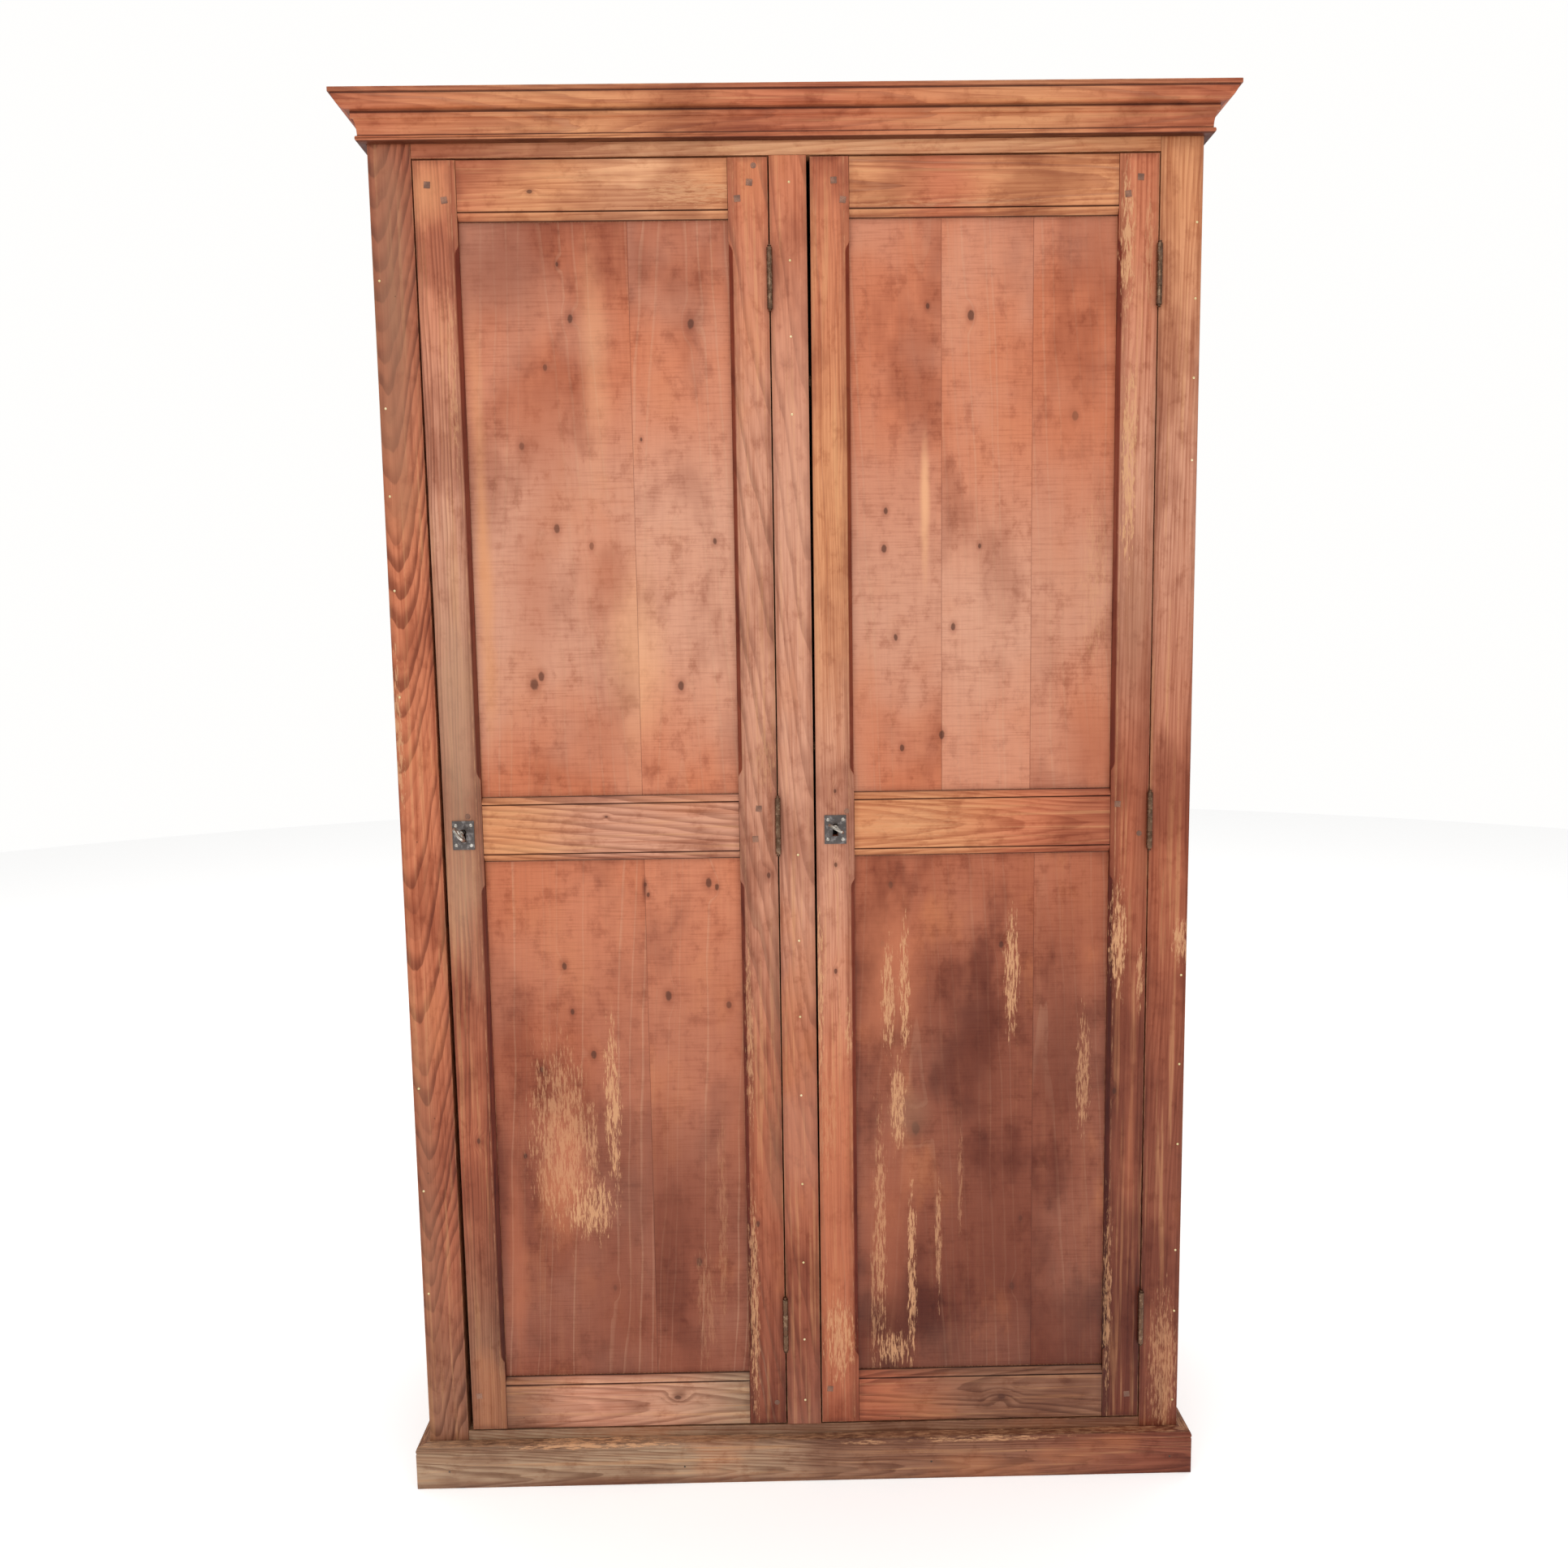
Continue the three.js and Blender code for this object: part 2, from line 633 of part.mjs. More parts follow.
for (const [side, spec] of Object.entries(DOORS)) {
  const [openLeft, openRight] = side === "left" ? [-openingEdge, -mullionEdge] : [mullionEdge, openingEdge];
  const name = side + "_door_";
  const hingeEdge = openRight - HINGE.gap;
  const hingeInner = hingeEdge - DOOR.stileWidth;
  const lockInner = openLeft + (spec.gapTop + spec.gapFoot) / 2 + DOOR.stileWidth;
  const axisX = hingeAxis[side];

  const lockOutline = outline(
    [openLeft + spec.gapFoot, doorBottom],
    [lockInner, doorBottom],
    [lockInner, doorTop],
    [openLeft + spec.gapTop, doorTop],
  );
  const lockStile = run(lockOutline, (x, z, t) => [x, t ? DOOR.thickness : 0, z]);
  const upAt = (keyHeight - doorBottom) / (doorTop - doorBottom);
  const lockEdge = openLeft + spec.gapFoot + (spec.gapTop - spec.gapFoot) * upAt;
  const keyX = (lockEdge + lockInner) / 2;
  piece(
    name + "lock_stile",
    workStile(lockStile, lockInner, -1).subtract(keyhole(keyX, [-THROUGH, DOOR.thickness + THROUGH])),
    PINE_PALE,
  );

  const hingeStile = block([hingeInner, hingeEdge], [0, DOOR.thickness], [doorBottom, doorTop]);
  let worked = workStile(hingeStile, hingeInner, 1);
  for (const height of Object.values(hingeHeights)) worked = worked.subtract(leafRecess(axisX, -1, height));
  piece(name + "hinge_stile", worked, PINE_PALE);

  for (const [which, rail] of Object.entries(rails)) {
    const shoulders = [lockInner + GAP, hingeInner - GAP];
    let bar = run(railSection(rail), (y, z, t) => [shoulders[t], y, z], 1, 6);
    const tenonEnds = [lockInner - DOOR.tenonLength, hingeInner + DOOR.tenonLength];
    for (const tenon of tenonsOf(which)) bar = bar.add(block(tenonEnds, doorTenon, tenon));
    piece(name + which + "_rail", bar, PINE_PALE);
  }

  const reach = DOOR.grooveDepth - DOOR.panelPlay;
  const panelDepth = [DOOR.lip + GAP, DOOR.lip + GAP + DOOR.panelThickness];
  for (const [which, opening] of Object.entries(panelOpenings)) {
    const board = block([lockInner - reach, hingeInner + reach], panelDepth, grown(opening, reach));
    piece(name + which + "_panel", board, PINE_RED);
  }

  for (const [which, height] of Object.entries(hingeHeights)) {
    piece(side + "_hinge_" + which + "_frame_leaf", frameLeaf(axisX, height), IRON);
    piece(side + "_hinge_" + which + "_door_leaf", doorLeaf(axisX, height), IRON);
  }

  // The iron plate round the keyhole.
  const plateMiddle = keyHeight - PLATE.belowKey;
  const plate = block(
    [keyX - PLATE.width / 2, keyX + PLATE.width / 2],
    [-GAP - PLATE.thickness, -GAP],
    [plateMiddle - PLATE.height / 2, plateMiddle + PLATE.height / 2],
  );
  piece(side + "_escutcheon", plate.subtract(keyhole(keyX, [-GAP - PLATE.thickness - THROUGH, 1])), IRON);

  // The rim lock: a flat iron box on the back of the stile, open at its edge for the bolt, with a
  // keyhole in front and room inside for the bit to turn below the bolt.
  const caseLeft = lockEdge + LOCK.fromEdge;
  const caseRight = caseLeft + LOCK.caseLength;
  const boltSpan = [keyHeight + LOCK.boltAboveKey, keyHeight + LOCK.boltAboveKey + LOCK.boltHeight];
  const inside = [caseFront + LOCK.wall, boltBack + GAP];
  const boltEnds = [caseLeft + GAP, caseLeft + GAP + LOCK.boltLength];
  const channel = [caseLeft - THROUGH, boltEnds[1] + LOCK.boltRetract];
  const lockCase = block(
    [caseLeft, caseRight],
    [caseFront, caseBack],
    [keyHeight - LOCK.caseBelow, keyHeight + LOCK.caseAbove],
  )
    .subtract(block(channel, inside, grown(boltSpan)))
    .subtract(roundBar(LOCK.cavity, inside, [keyX, keyHeight], "y", 24))
    .subtract(keyhole(keyX, [caseFront - THROUGH, inside[0] + THROUGH]));
  piece(side + "_lock_case", lockCase, IRON);
  piece(side + "_bolt", block(boltEnds, [boltFront, boltBack], boltSpan), IRON);

  // The key, drawn bit down about its own axis and then turned.
  const turned = new THREE.Group();
  turned.position.set(keyX, 0, keyHeight);
  turned.rotation.y = THREE.MathUtils.degToRad(-spec.keyTurn);
  body.add(turned);
  const { bow, bit, collar } = KEY;
  const bowMiddle = -KEY.projection + bow.height / 2;
  const ring = new THREE.Shape().absellipse(bowMiddle, 0, bow.height / 2, bow.width / 2, 0, Math.PI * 2);
  const eye = new THREE.Path().absellipse(bowMiddle, 0, bow.hole[1] / 2, bow.hole[0] / 2, 0, Math.PI * 2);
  ring.holes.push(eye);
  const bitBack = boltBack - KEY.endClearance;
  const bowEnd = -KEY.projection + bow.height;
  const shaftSpan = [bowEnd - bow.thickness, bitBack];
  const collarSpan = [bowEnd - collar.before, bowEnd + collar.behind];
  const key = run(ring, (y, z, t) => [(t - 0.5) * bow.thickness, y, z], 1, 12)
    .add(roundBar(KEY.shaft, shaftSpan, [0, 0], "y", KEY.sides))
    .add(roundBar(collar.radius, collarSpan, [0, 0], "y", KEY.sides))
    .add(block([-bit.thickness / 2, bit.thickness / 2], [bitBack - bit.depth, bitBack], [-bit.reach, 0]));
  piece(side + "_key", key, KEY_IRON, turned);
}

export default armoire;
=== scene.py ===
import math

import bmesh
import bpy
from mathutils import Matrix, Vector


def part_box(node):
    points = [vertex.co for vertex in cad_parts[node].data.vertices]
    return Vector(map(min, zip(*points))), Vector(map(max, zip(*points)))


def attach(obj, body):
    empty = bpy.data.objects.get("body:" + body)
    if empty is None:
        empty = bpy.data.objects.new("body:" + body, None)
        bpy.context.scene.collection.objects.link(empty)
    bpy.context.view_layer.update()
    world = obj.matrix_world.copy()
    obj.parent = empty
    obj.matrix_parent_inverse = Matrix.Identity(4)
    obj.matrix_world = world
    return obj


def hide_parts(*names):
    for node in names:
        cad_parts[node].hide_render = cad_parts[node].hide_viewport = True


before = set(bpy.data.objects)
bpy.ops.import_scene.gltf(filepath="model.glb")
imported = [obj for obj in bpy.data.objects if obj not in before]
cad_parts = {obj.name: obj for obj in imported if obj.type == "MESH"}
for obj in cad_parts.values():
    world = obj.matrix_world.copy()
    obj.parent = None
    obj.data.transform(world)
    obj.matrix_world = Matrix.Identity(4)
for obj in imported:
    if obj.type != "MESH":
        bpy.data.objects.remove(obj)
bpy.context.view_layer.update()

# ---------------------------------------------------------------- posts and mullion
# Three uprights of sawn pine, 26 mm thick, that the doors hang on and close against. They were stained
# red-brown and waxed long ago. They run orange and pale in the middle and brown at the foot: partly their own
# wear and dirt, partly painted light, a painted sheen at mid-height and painted shade towards the foot.


def paint(code):
    """A hex colour, as it is named on a paint card, in the linear values that shaders take."""
    channels = [int(code[i:i + 2], 16) / 255 for i in (1, 3, 5)]
    return tuple(c / 12.92 if c <= 0.04045 else ((c + 0.055) / 1.055) ** 2.4 for c in channels) + (1.0,)


def add(tree, kind, sockets=None, out=0, **settings):
    """Adds one shader node with its settings, fills or links its sockets, and returns the output named."""
    node = tree.nodes.new("ShaderNode" + kind)
    for setting, value in settings.items():
        setattr(node, setting, value)
    for socket, value in (sockets or {}).items():
        if isinstance(value, bpy.types.NodeSocket):
            tree.links.new(value, node.inputs[socket])
        else:
            node.inputs[socket].default_value = value
    return node.outputs[out] if node.outputs else node


def new_finish(name):
    """An empty finish, and the node tree that its colour and gloss are made in."""
    material = bpy.data.materials.new(name)
    material.use_nodes = True
    material.node_tree.nodes.clear()
    return material, material.node_tree


def aged_pine(name, grain, ends, tones, pith, seed, ring=4.2, figure=0.5, late_tone="#b98a72", pale=0.0,
        painted_sheen=0.0,
              cross=0.0, knots=(), stains=(), bare=(), joins=(), quirk_shade=(), rim=None, dirt=0.4,
              edge_wear_and_highlight=(1.8, 0.4),
              face=None, back=None, worm=0.0, gloss=0.46, coarse=1.0, cloud=0.5):
    """Flat-sawn pine, stained, waxed and handled for a hundred years: growth rings cut by the face of the
    board, hair-fine fibre, knots that the rings run round, and stain that has faded, pooled and rubbed off.
    grain names the axes across, into and along the board, and every length is in millimetres on those axes.
    ends are the board's ends along the grain, and tones its colours from one to the other. Besides the wood's
    own
    colour the finish paints light: on the uprights and panels the tones hold a painted sheen at mid-height
    and painted shade towards the foot, and the head rail's tones are paler against the shade under the
    cornice; the sheen amount adds pale patches of painted sheen, the quirks draw painted shade along the
    corners of mouldings, face darkens the chamfers below it with painted shade, and the pale arrises are worn
    wood and partly a painted highlight. pith is the tree's
    heart: its place across the board, its distance behind, and the taper that draws the pointed arches. back
    is the pair of depths between which the finish gives way to the bare wood of the inner side."""
    material, tree = new_finish(name)
    place = add(tree, "TexCoord", out="Object")
    place = add(tree, "VectorMath", {0: place, "Scale": 1000.0}, operation="SCALE")
    axes = add(tree, "SeparateXYZ", {0: place}).node
    across, depth, along = (axes.outputs[letter] for letter in grain)

    def radii_away(at, up, wide, long):
        """How far a point is from a mark on the board, counted in the mark's own radii."""
        flat = add(tree, "CombineXYZ", {0: across, 1: along})
        flat = add(tree, "VectorMath", {0: flat, 1: (at, up, 0)}, operation="SUBTRACT")
        flat = add(tree, "VectorMath", {0: flat, 1: (1 / wide, 1 / long, 0)}, operation="MULTIPLY")
        return add(tree, "VectorMath", {0: flat}, out="Value", operation="LENGTH")

    def distance_from(edge):
        """How far a point is from a line drawn along the board."""
        off = add(tree, "Math", {0: across, 1: edge}, operation="SUBTRACT")
        return add(tree, "Math", {0: off}, operation="ABSOLUTE")

    # Glued-up panels: each plank came from another part of the tree, so its rings and stain start afresh.
    plank = 0.0
    for edge in joins:
        over = add(tree, "Math", {0: across, 1: edge}, operation="GREATER_THAN")
        plank = add(tree, "Math", {0: over, 1: plank}, operation="ADD")
    fibres = add(tree, "CombineXYZ", {0: across, 1: depth, 2: along})
    fibres = add(tree, "VectorMath", {0: fibres, 1: (211.0 * seed, 97.0 * seed, 389.0 * seed)},
        operation="ADD")
    if joins:
        fibres = add(tree, "VectorMath", {0: plank, 1: (71.0, 39.0, 613.0), 2: fibres},
            operation="MULTIPLY_ADD")
    field = {}  # each one's width and length in the grain, in mm, then its detail and roughness
    for what, (wide, long, detail, rough) in {
        "wander": (95, 700, 2, 0.5),  # how the trunk bent as it grew
        "ripple": (20, 170, 2, 0.5),
        "fibre": (2.2, 120, 3, 0.6),  # real fibre is finer than 1 mm, drawn as coarse as it shows
        "streak": (9, 340, 3, 0.6),
        "mottle": (120, 210, 4, 0.56),
        "veil": (240, 330, 3, 0.55),
        "grime": (24, 34, 4, 0.65),
        "tear": (2.8, 20, 5, 0.72),
    }.items():
        stretched = add(tree, "VectorMath", {0: fibres, 1: (1 / wide, 1 / wide, 1 / long)},
            operation="MULTIPLY")
        field[what] = add(tree, "TexNoise", {"Vector": stretched, "Scale": 1.0, "Detail": detail,
                "Roughness": rough})

    # Knots: q is how many knot radii away a point is. The rings swell out round each, and it darkens
    # what is near.
    swell, heart, halo = 0.0, 0.0, 0.0
    for at, up, radius in knots:
        q = radii_away(at, up, radius, radius / 0.62)
        q = add(tree, "Math", {0: field["grime"], 1: 1.5, 2: q}, operation="MULTIPLY_ADD")
        near = add(tree, "MapRange", {"Value": q, "From Min": 5.0, "From Max": 1.2, "To Max": 2.0 * radius},
            interpolation_type="SMOOTHSTEP")
        swell = add(tree, "Math", {0: near, 1: swell}, operation="ADD")
        core = add(tree, "MapRange", {"Value": q, "From Min": 1.85, "From Max": 1.2},
            interpolation_type="SMOOTHSTEP")
        heart = add(tree, "Math", {0: core, 1: heart}, operation="MAXIMUM")
        smoke = add(tree, "MapRange", {"Value": q, "From Min": 3.6, "From Max": 1.3},
            interpolation_type="SMOOTHSTEP")
        halo = add(tree, "Math", {0: smoke, 1: halo}, operation="MAXIMUM")

    # Growth rings are cones about the pith, so a board shows them as arches where the pith is behind it and
    # as straight lines elsewhere. The pale wood of spring darkens slowly, and stops at a hard line.
    heart_apart = 205.0  # from one plank's heart to the next, across the panel
    trunk_bend = 44.0
    ring_ripple = 9.0
    bent = add(tree, "Math", {0: field["wander"], 1: trunk_bend, 2: across}, operation="MULTIPLY_ADD")
    heart_across = add(tree, "Math", {0: plank, 1: heart_apart, 2: pith[0] + trunk_bend / 2},
        operation="MULTIPLY_ADD")
    sideways = add(tree, "Math", {0: bent, 1: heart_across}, operation="SUBTRACT")
    radial = add(tree, "CombineXYZ", {0: sideways, 1: float(pith[1])})
    radius = add(tree, "VectorMath", {0: radial}, out="Value", operation="LENGTH")
    radius = add(tree, "Math", {0: along, 1: pith[2], 2: radius}, operation="MULTIPLY_ADD")
    radius = add(tree, "Math", {0: field["ripple"], 1: ring_ripple, 2: radius}, operation="MULTIPLY_ADD")
    radius = add(tree, "Math", {0: radius, 1: swell}, operation="ADD")
    years = add(tree, "Math", {0: radius, 1: ring}, operation="DIVIDE")
    season = add(tree, "Math", {0: years}, operation="FRACT")
    year = add(tree, "Math", {0: years}, operation="FLOOR")
    good_year = add(tree, "TexWhiteNoise", {"W": year}, noise_dimensions="1D")
    good_year = add(tree, "MapRange", {"Value": good_year, "To Min": 0.25})
    darkening = add(tree, "MapRange", {"Value": season, "From Min": 0.05, "From Max": 0.9},
        interpolation_type="SMOOTHSTEP")
    stop = add(tree, "MapRange", {"Value": season, "From Min": 1.0, "From Max": 0.88},
        interpolation_type="SMOOTHSTEP")
    late = add(tree, "Math", {0: darkening, 1: stop}, operation="MULTIPLY")
    late = add(tree, "Math", {0: late, 1: good_year}, operation="MULTIPLY")

    # The colour along the board, from one end to the other: the stain's own tone, and on the uprights and
    # panels also painted light, a painted sheen at mid-height and painted shade towards the foot.
    surface = paint(tones[0])
    waver = add(tree, "Math", {0: field["veil"], 1: 260.0, 2: along}, operation="MULTIPLY_ADD")
    step = (ends[1] - ends[0]) / (len(tones) - 1)
    for i, tone in enumerate(tones[1:]):
        reach = add(tree, "MapRange", {"Value": waver, "From Min": ends[0] + i * step + 130,
                "From Max": ends[0] + (i + 1) * step + 130}, interpolation_type="SMOOTHSTEP")
        surface = add(tree, "Mix", {0: reach, 6: surface, 7: paint(tone)}, out=2, data_type="RGBA")
    inside = 0.0
    if back:
        inside = add(tree, "MapRange", {"Value": depth, "From Min": back[0], "From Max": back[1]})
    washes = [
        (inside, 0.0, 1.0, 0.85, "#bd946c", "MIX"),
        (late, 0.0, 0.85, figure, late_tone, "MULTIPLY"),
        (late, 0.5, 0.95, pale, "#e4b896", "MIX"),  # stained pine: the hard late wood takes less stain
        (field["fibre"], 0.44, 0.7, 0.42 * coarse, "#c39c80", "MULTIPLY"),
        (field["streak"], 0.5, 0.68, 0.45 * coarse, "#c79f80", "MULTIPLY"),
        (field["streak"], 0.47, 0.33, 0.3 * coarse, "#dea573", "MIX"),
        (field["mottle"], 0.48, 0.66, cloud, "#a97c66", "MULTIPLY"),
        (field["mottle"], 0.46, 0.3, 0.5 * cloud, "#d48454", "MIX"),
        (field["grime"], 0.5, 0.7, 0.4, "#b98e74", "MULTIPLY"),
        # painted sheen: pale patches that stand in for the window's reflection in the wax
        (field["veil"], 0.42, 0.64, painted_sheen, "#d9a288", "MIX"),
        (halo, 0.0, 1.0, 0.3, "#a06c58", "MULTIPLY"),
        (heart, 0.0, 1.0, 0.75, "#4e2a1e", "MIX"),
    ]
    if joins:
        plank_tone = add(tree, "TexWhiteNoise", {"W": plank}, noise_dimensions="1D")
        washes.append((plank_tone, 0.0, 1.0, 0.2, "#c99c86", "MULTIPLY"))
    if cross:  # the fine checks and plane marks that run across a panel under its wax
        stretched = add(tree, "VectorMath", {0: fibres, 1: (1 / 55, 1 / 55, 1 / 2.4)}, operation="MULTIPLY")
        checks = add(tree, "TexNoise", {"Vector": stretched, "Scale": 1.0, "Detail": 2.0, "Roughness": 0.5})
        where = add(tree, "MapRange", {"Value": field["grime"], "From Min": 0.3, "From Max": 0.7,
                "To Min": 0.8, "To Max": 1.1})
        checks = add(tree, "Math", {0: checks, 1: where}, operation="MULTIPLY")
        washes.append((checks, 0.4, 0.7, cross, "#b98a72", "MULTIPLY"))
    for at, up, wide, long, tone, amount in stains:
        q = radii_away(at, up, wide, long)
        q = add(tree, "Math", {0: field["mottle"], 1: 1.6, 2: q}, operation="MULTIPLY_ADD")
        q = add(tree, "Math", {0: inside, 1: 9.0, 2: q}, operation="MULTIPLY_ADD")
        washes.append((q, 2.0, 0.9, amount, tone, "MIX"))
    rubbed = 0.0
    for at, up, wide, long, amount in bare:
        q = radii_away(at, up, wide, long)
        near = add(tree, "MapRange", {"Value": q, "From Min": 1.7, "From Max": 0.3, "To Max": 0.3},
            interpolation_type="SMOOTHSTEP")
        torn = add(tree, "Math", {0: field["tear"], 1: near}, operation="ADD")
        torn = add(tree, "MapRange", {"Value": torn, "From Min": 0.69, "From Max": 0.85, "To Max": amount},
            interpolation_type="SMOOTHSTEP")
        rubbed = add(tree, "Math", {0: torn, 1: rubbed}, operation="MAXIMUM")
    rubbed = add(tree, "Math", {0: rubbed, 1: inside}, operation="SUBTRACT", use_clamp=True)
    if rim:  # dirt gathers along a board's edges, and the arris itself is painted pale: rubbed back to bare wood, and partly a painted highlight along the edge
        left = add(tree, "Math", {0: across, 1: rim[0]}, operation="SUBTRACT")
        right = add(tree, "Math", {0: rim[1], 1: across}, operation="SUBTRACT")
        below = add(tree, "Math", {0: along, 1: rim[2]}, operation="SUBTRACT")
        above = add(tree, "Math", {0: rim[3], 1: along}, operation="SUBTRACT")
        edge = add(tree, "Math", {0: left, 1: right}, operation="MINIMUM")
        ends_edge = add(tree, "Math", {0: below, 1: above}, operation="MINIMUM")
        edge = add(tree, "Math", {0: edge, 1: ends_edge}, operation="MINIMUM")
        # painted shade: in the chamfer, beyond the rim and below the face, the stain is darkened where the
        # chamfer lies in shade
        if face is not None:
            beyond = add(tree, "MapRange", {"Value": edge, "From Min": 0.5, "From Max": -0.6})
            cut = add(tree, "MapRange", {"Value": depth, "From Min": face + 0.3, "From Max": face + 1.4})
            beyond = add(tree, "Math", {0: beyond, 1: cut}, operation="MULTIPLY")
            shallow = add(tree, "MapRange", {"Value": depth, "From Min": face + 11, "From Max": face + 8})
            beyond = add(tree, "Math", {0: beyond, 1: shallow}, operation="MULTIPLY")
            washes.append((beyond, 0.0, 1.0, 0.92, "#a9694e", "MULTIPLY"))
        drift = add(tree, "Math", {0: field["grime"], 1: 18.0, 2: edge}, operation="MULTIPLY_ADD")
        washes.append((drift, 21.0, 8.0, dirt, "#8f6455", "MULTIPLY"))
        edge = add(tree, "Math", {0: edge}, operation="ABSOLUTE")
        # the pale arris: worn bare wood, and partly a painted highlight where the edge catches the light
        arris = add(tree, "MapRange", {"Value": edge, "From Min": edge_wear_and_highlight[0], "From Max": edge_wear_and_highlight[0] * 0.3})
        patchy = add(tree, "MapRange", {"Value": field["tear"], "From Min": 0.4, "From Max": 0.6,
                "To Max": edge_wear_and_highlight[1]})
        arris = add(tree, "Math", {0: arris, 1: patchy}, operation="MULTIPLY")
        rubbed = add(tree, "Math", {0: arris, 1: rubbed}, operation="MAXIMUM")
    washes.append((rubbed, 0.0, 1.0, 0.85, "#d8a277", "MIX"))
    for edge, half in quirk_shade:  # painted shade: dark lines along the corners of mouldings, where shade falls
        off = distance_from(edge)
        washes.append((off, half, 0.35 * half, 0.85, "#54301f", "MULTIPLY"))
    for edge in joins:  # the glue line, opened a hair here and there
        off = distance_from(edge)
        off = add(tree, "Math", {0: field["grime"], 1: 1.6, 2: off}, operation="MULTIPLY_ADD")
        washes.append((off, 1.7, 0.9, 0.45, "#6b4030", "MULTIPLY"))
    if worm:
        # a hole to each 46 mm
        holes = add(tree, "TexVoronoi", {"Vector": place, "Scale": 1 / 46}, out="Distance")
        holes = add(tree, "MapRange", {"Value": holes, "From Min": 0.034, "From Max": 0.022})
        where = add(tree, "MapRange", {"Value": field["veil"], "From Min": 0.4, "From Max": 0.5})
        holes = add(tree, "Math", {0: holes, 1: where}, operation="MULTIPLY")
        washes.append((holes, 0.0, 1.0, worm, "#2e1a12", "MIX"))
    for amount, low, high, strength, tone, blend in washes:
        if isinstance(amount, bpy.types.NodeSocket):
            amount = add(tree, "MapRange", {"Value": amount, "From Min": low, "From Max": high,
                    "To Max": strength}, interpolation_type="SMOOTHSTEP")
            surface = add(tree, "Mix", {0: amount, 6: surface, 7: paint(tone)}, out=2, data_type="RGBA",
                blend_type=blend)

    rough = add(tree, "MapRange", {"Value": field["grime"], "From Min": 0.3, "From Max": 0.7,
            "To Min": gloss - 0.05, "To Max": gloss + 0.12})
    rough = add(tree, "Math", {0: rubbed, 1: 0.2, 2: rough}, operation="MULTIPLY_ADD")
    relief = add(tree, "Math", {0: late, 1: 0.35, 2: field["fibre"]}, operation="MULTIPLY_ADD")
    relief = add(tree, "Math", {0: rubbed, 1: -0.5, 2: relief}, operation="MULTIPLY_ADD")
    relief = add(tree, "Math", {0: field["grime"], 1: 0.9, 2: relief}, operation="MULTIPLY_ADD")
    normal = add(tree, "Bump", {"Height": relief, "Strength": 0.5, "Distance": 0.0004})
    shader = add(tree, "BsdfPrincipled", {"Base Color": surface, "Roughness": rough, "Normal": normal,
            "IOR": 1.5,
                                                    "Specular IOR Level": 0.22, "Coat Weight": 0.03,
                                                    "Coat Roughness": 0.3})
    add(tree, "OutputMaterial", {"Surface": shader})
    return material


def round_over(work, edges, size):
    """Takes a sharp corner off, as a plane, a file or a hundred years of hands do."""
    bmesh.ops.bevel(work, geom=edges, offset=size, offset_type="OFFSET", segments=2, profile=0.5,
                    affect="EDGES", material=-1, clamp_overlap=True)


def worked_board(node, body, slot, wood, arris=0.0012):
    """A copy of the sawn board, its triangles joined into whole faces, and its long arrises rubbed round."""
    work = bmesh.new()
    work.from_mesh(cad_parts[node].data)
    bmesh.ops.remove_doubles(work, verts=work.verts, dist=0.00002)
    bmesh.ops.dissolve_limit(work, angle_limit=0.01, verts=work.verts, edges=work.edges)
    arrises = []
    for edge in work.edges:
        length = edge.calc_length()
        if length < 0.03 or not edge.is_manifold or not edge.is_convex:
            continue
        broad = all(face.calc_area() / length > 0.004 for face in edge.link_faces)
        if broad and 1.2 < edge.calc_face_angle() < 2.0:
            arrises.append(edge)
    round_over(work, arrises, arris)
    return set_in_place(work, node, body, slot, wood, node)


def set_in_place(work, name, body, slot, finish, *nodes):
    """Makes the piece from its mesh work, on its body, in place of the plain parts that it stands for."""
    mesh = bpy.data.meshes.new(name)
    work.to_mesh(mesh)
    work.free()
    mesh.materials.append(finish)
    piece = bpy.data.objects.new(name + "_made" if nodes else name, mesh)
    bpy.context.scene.collection.objects.link(piece)
    if nodes:
        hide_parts(*nodes)
    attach(piece, body)
    return piece


# The stain and wax have aged to a few tones, and each stained board passes through some along its length.
# On the uprights and panels the tones also hold painted light: paler at mid-height as a painted sheen, and
# darker towards the foot partly as painted shade.
umber = "#703624"  # stain pooled and polished almost black-red; at the foot of a board, partly painted shade
chestnut = "#8e4e38"
walnut = "#93664e"  # browned and dirty near the floor, and darker there with painted shade
russet = "#b26648"
copper = "#ce7c58"
honey = "#dc986a"
bloom_and_sheen = "#d69a7e"  # bloomed wax over red; at mid-height on the uprights and upper panels, a painted sheen
straw = "#b4967a"  # scrubbed and greyed
apricot = "#ecb084"  # stain worn thin; on the head rail, painted light that brightens it in the shade under the cornice
deep_figure = "#9c7e6e"  # late wood on the boards whose grain stands out most

worked_board("left_post", "root", "frame_pine", aged_pine(
    "waxed pine, left post", "XYZ", (0, 2111),
    [walnut, russet, copper, copper, russet], (-610, 17, -0.19), 1, ring=8.5, figure=0.75,
    late_tone=deep_figure,
    stains=[(-600, 1880, 40, 330, walnut, 0.75), (-610, 480, 26, 330, walnut, 0.45)],
    bare=[(-620, 1250, 8, 160, 0.7)], rim=(-625, -561, 0, 2183), worm=0.6), arris=0.0016)
worked_board("right_post", "root", "frame_pine", aged_pine(
    "waxed pine, right post", "XYZ", (0, 2111),
    [chestnut, chestnut, russet, bloom_and_sheen, honey], (720, 60, 0.02), 2, ring=5.5, figure=0.4,
    bare=[(616, 905, 16, 45, 0.8), (600, 180, 30, 150, 0.5)], rim=(561, 625, 0, 2183)), arris=0.0016)
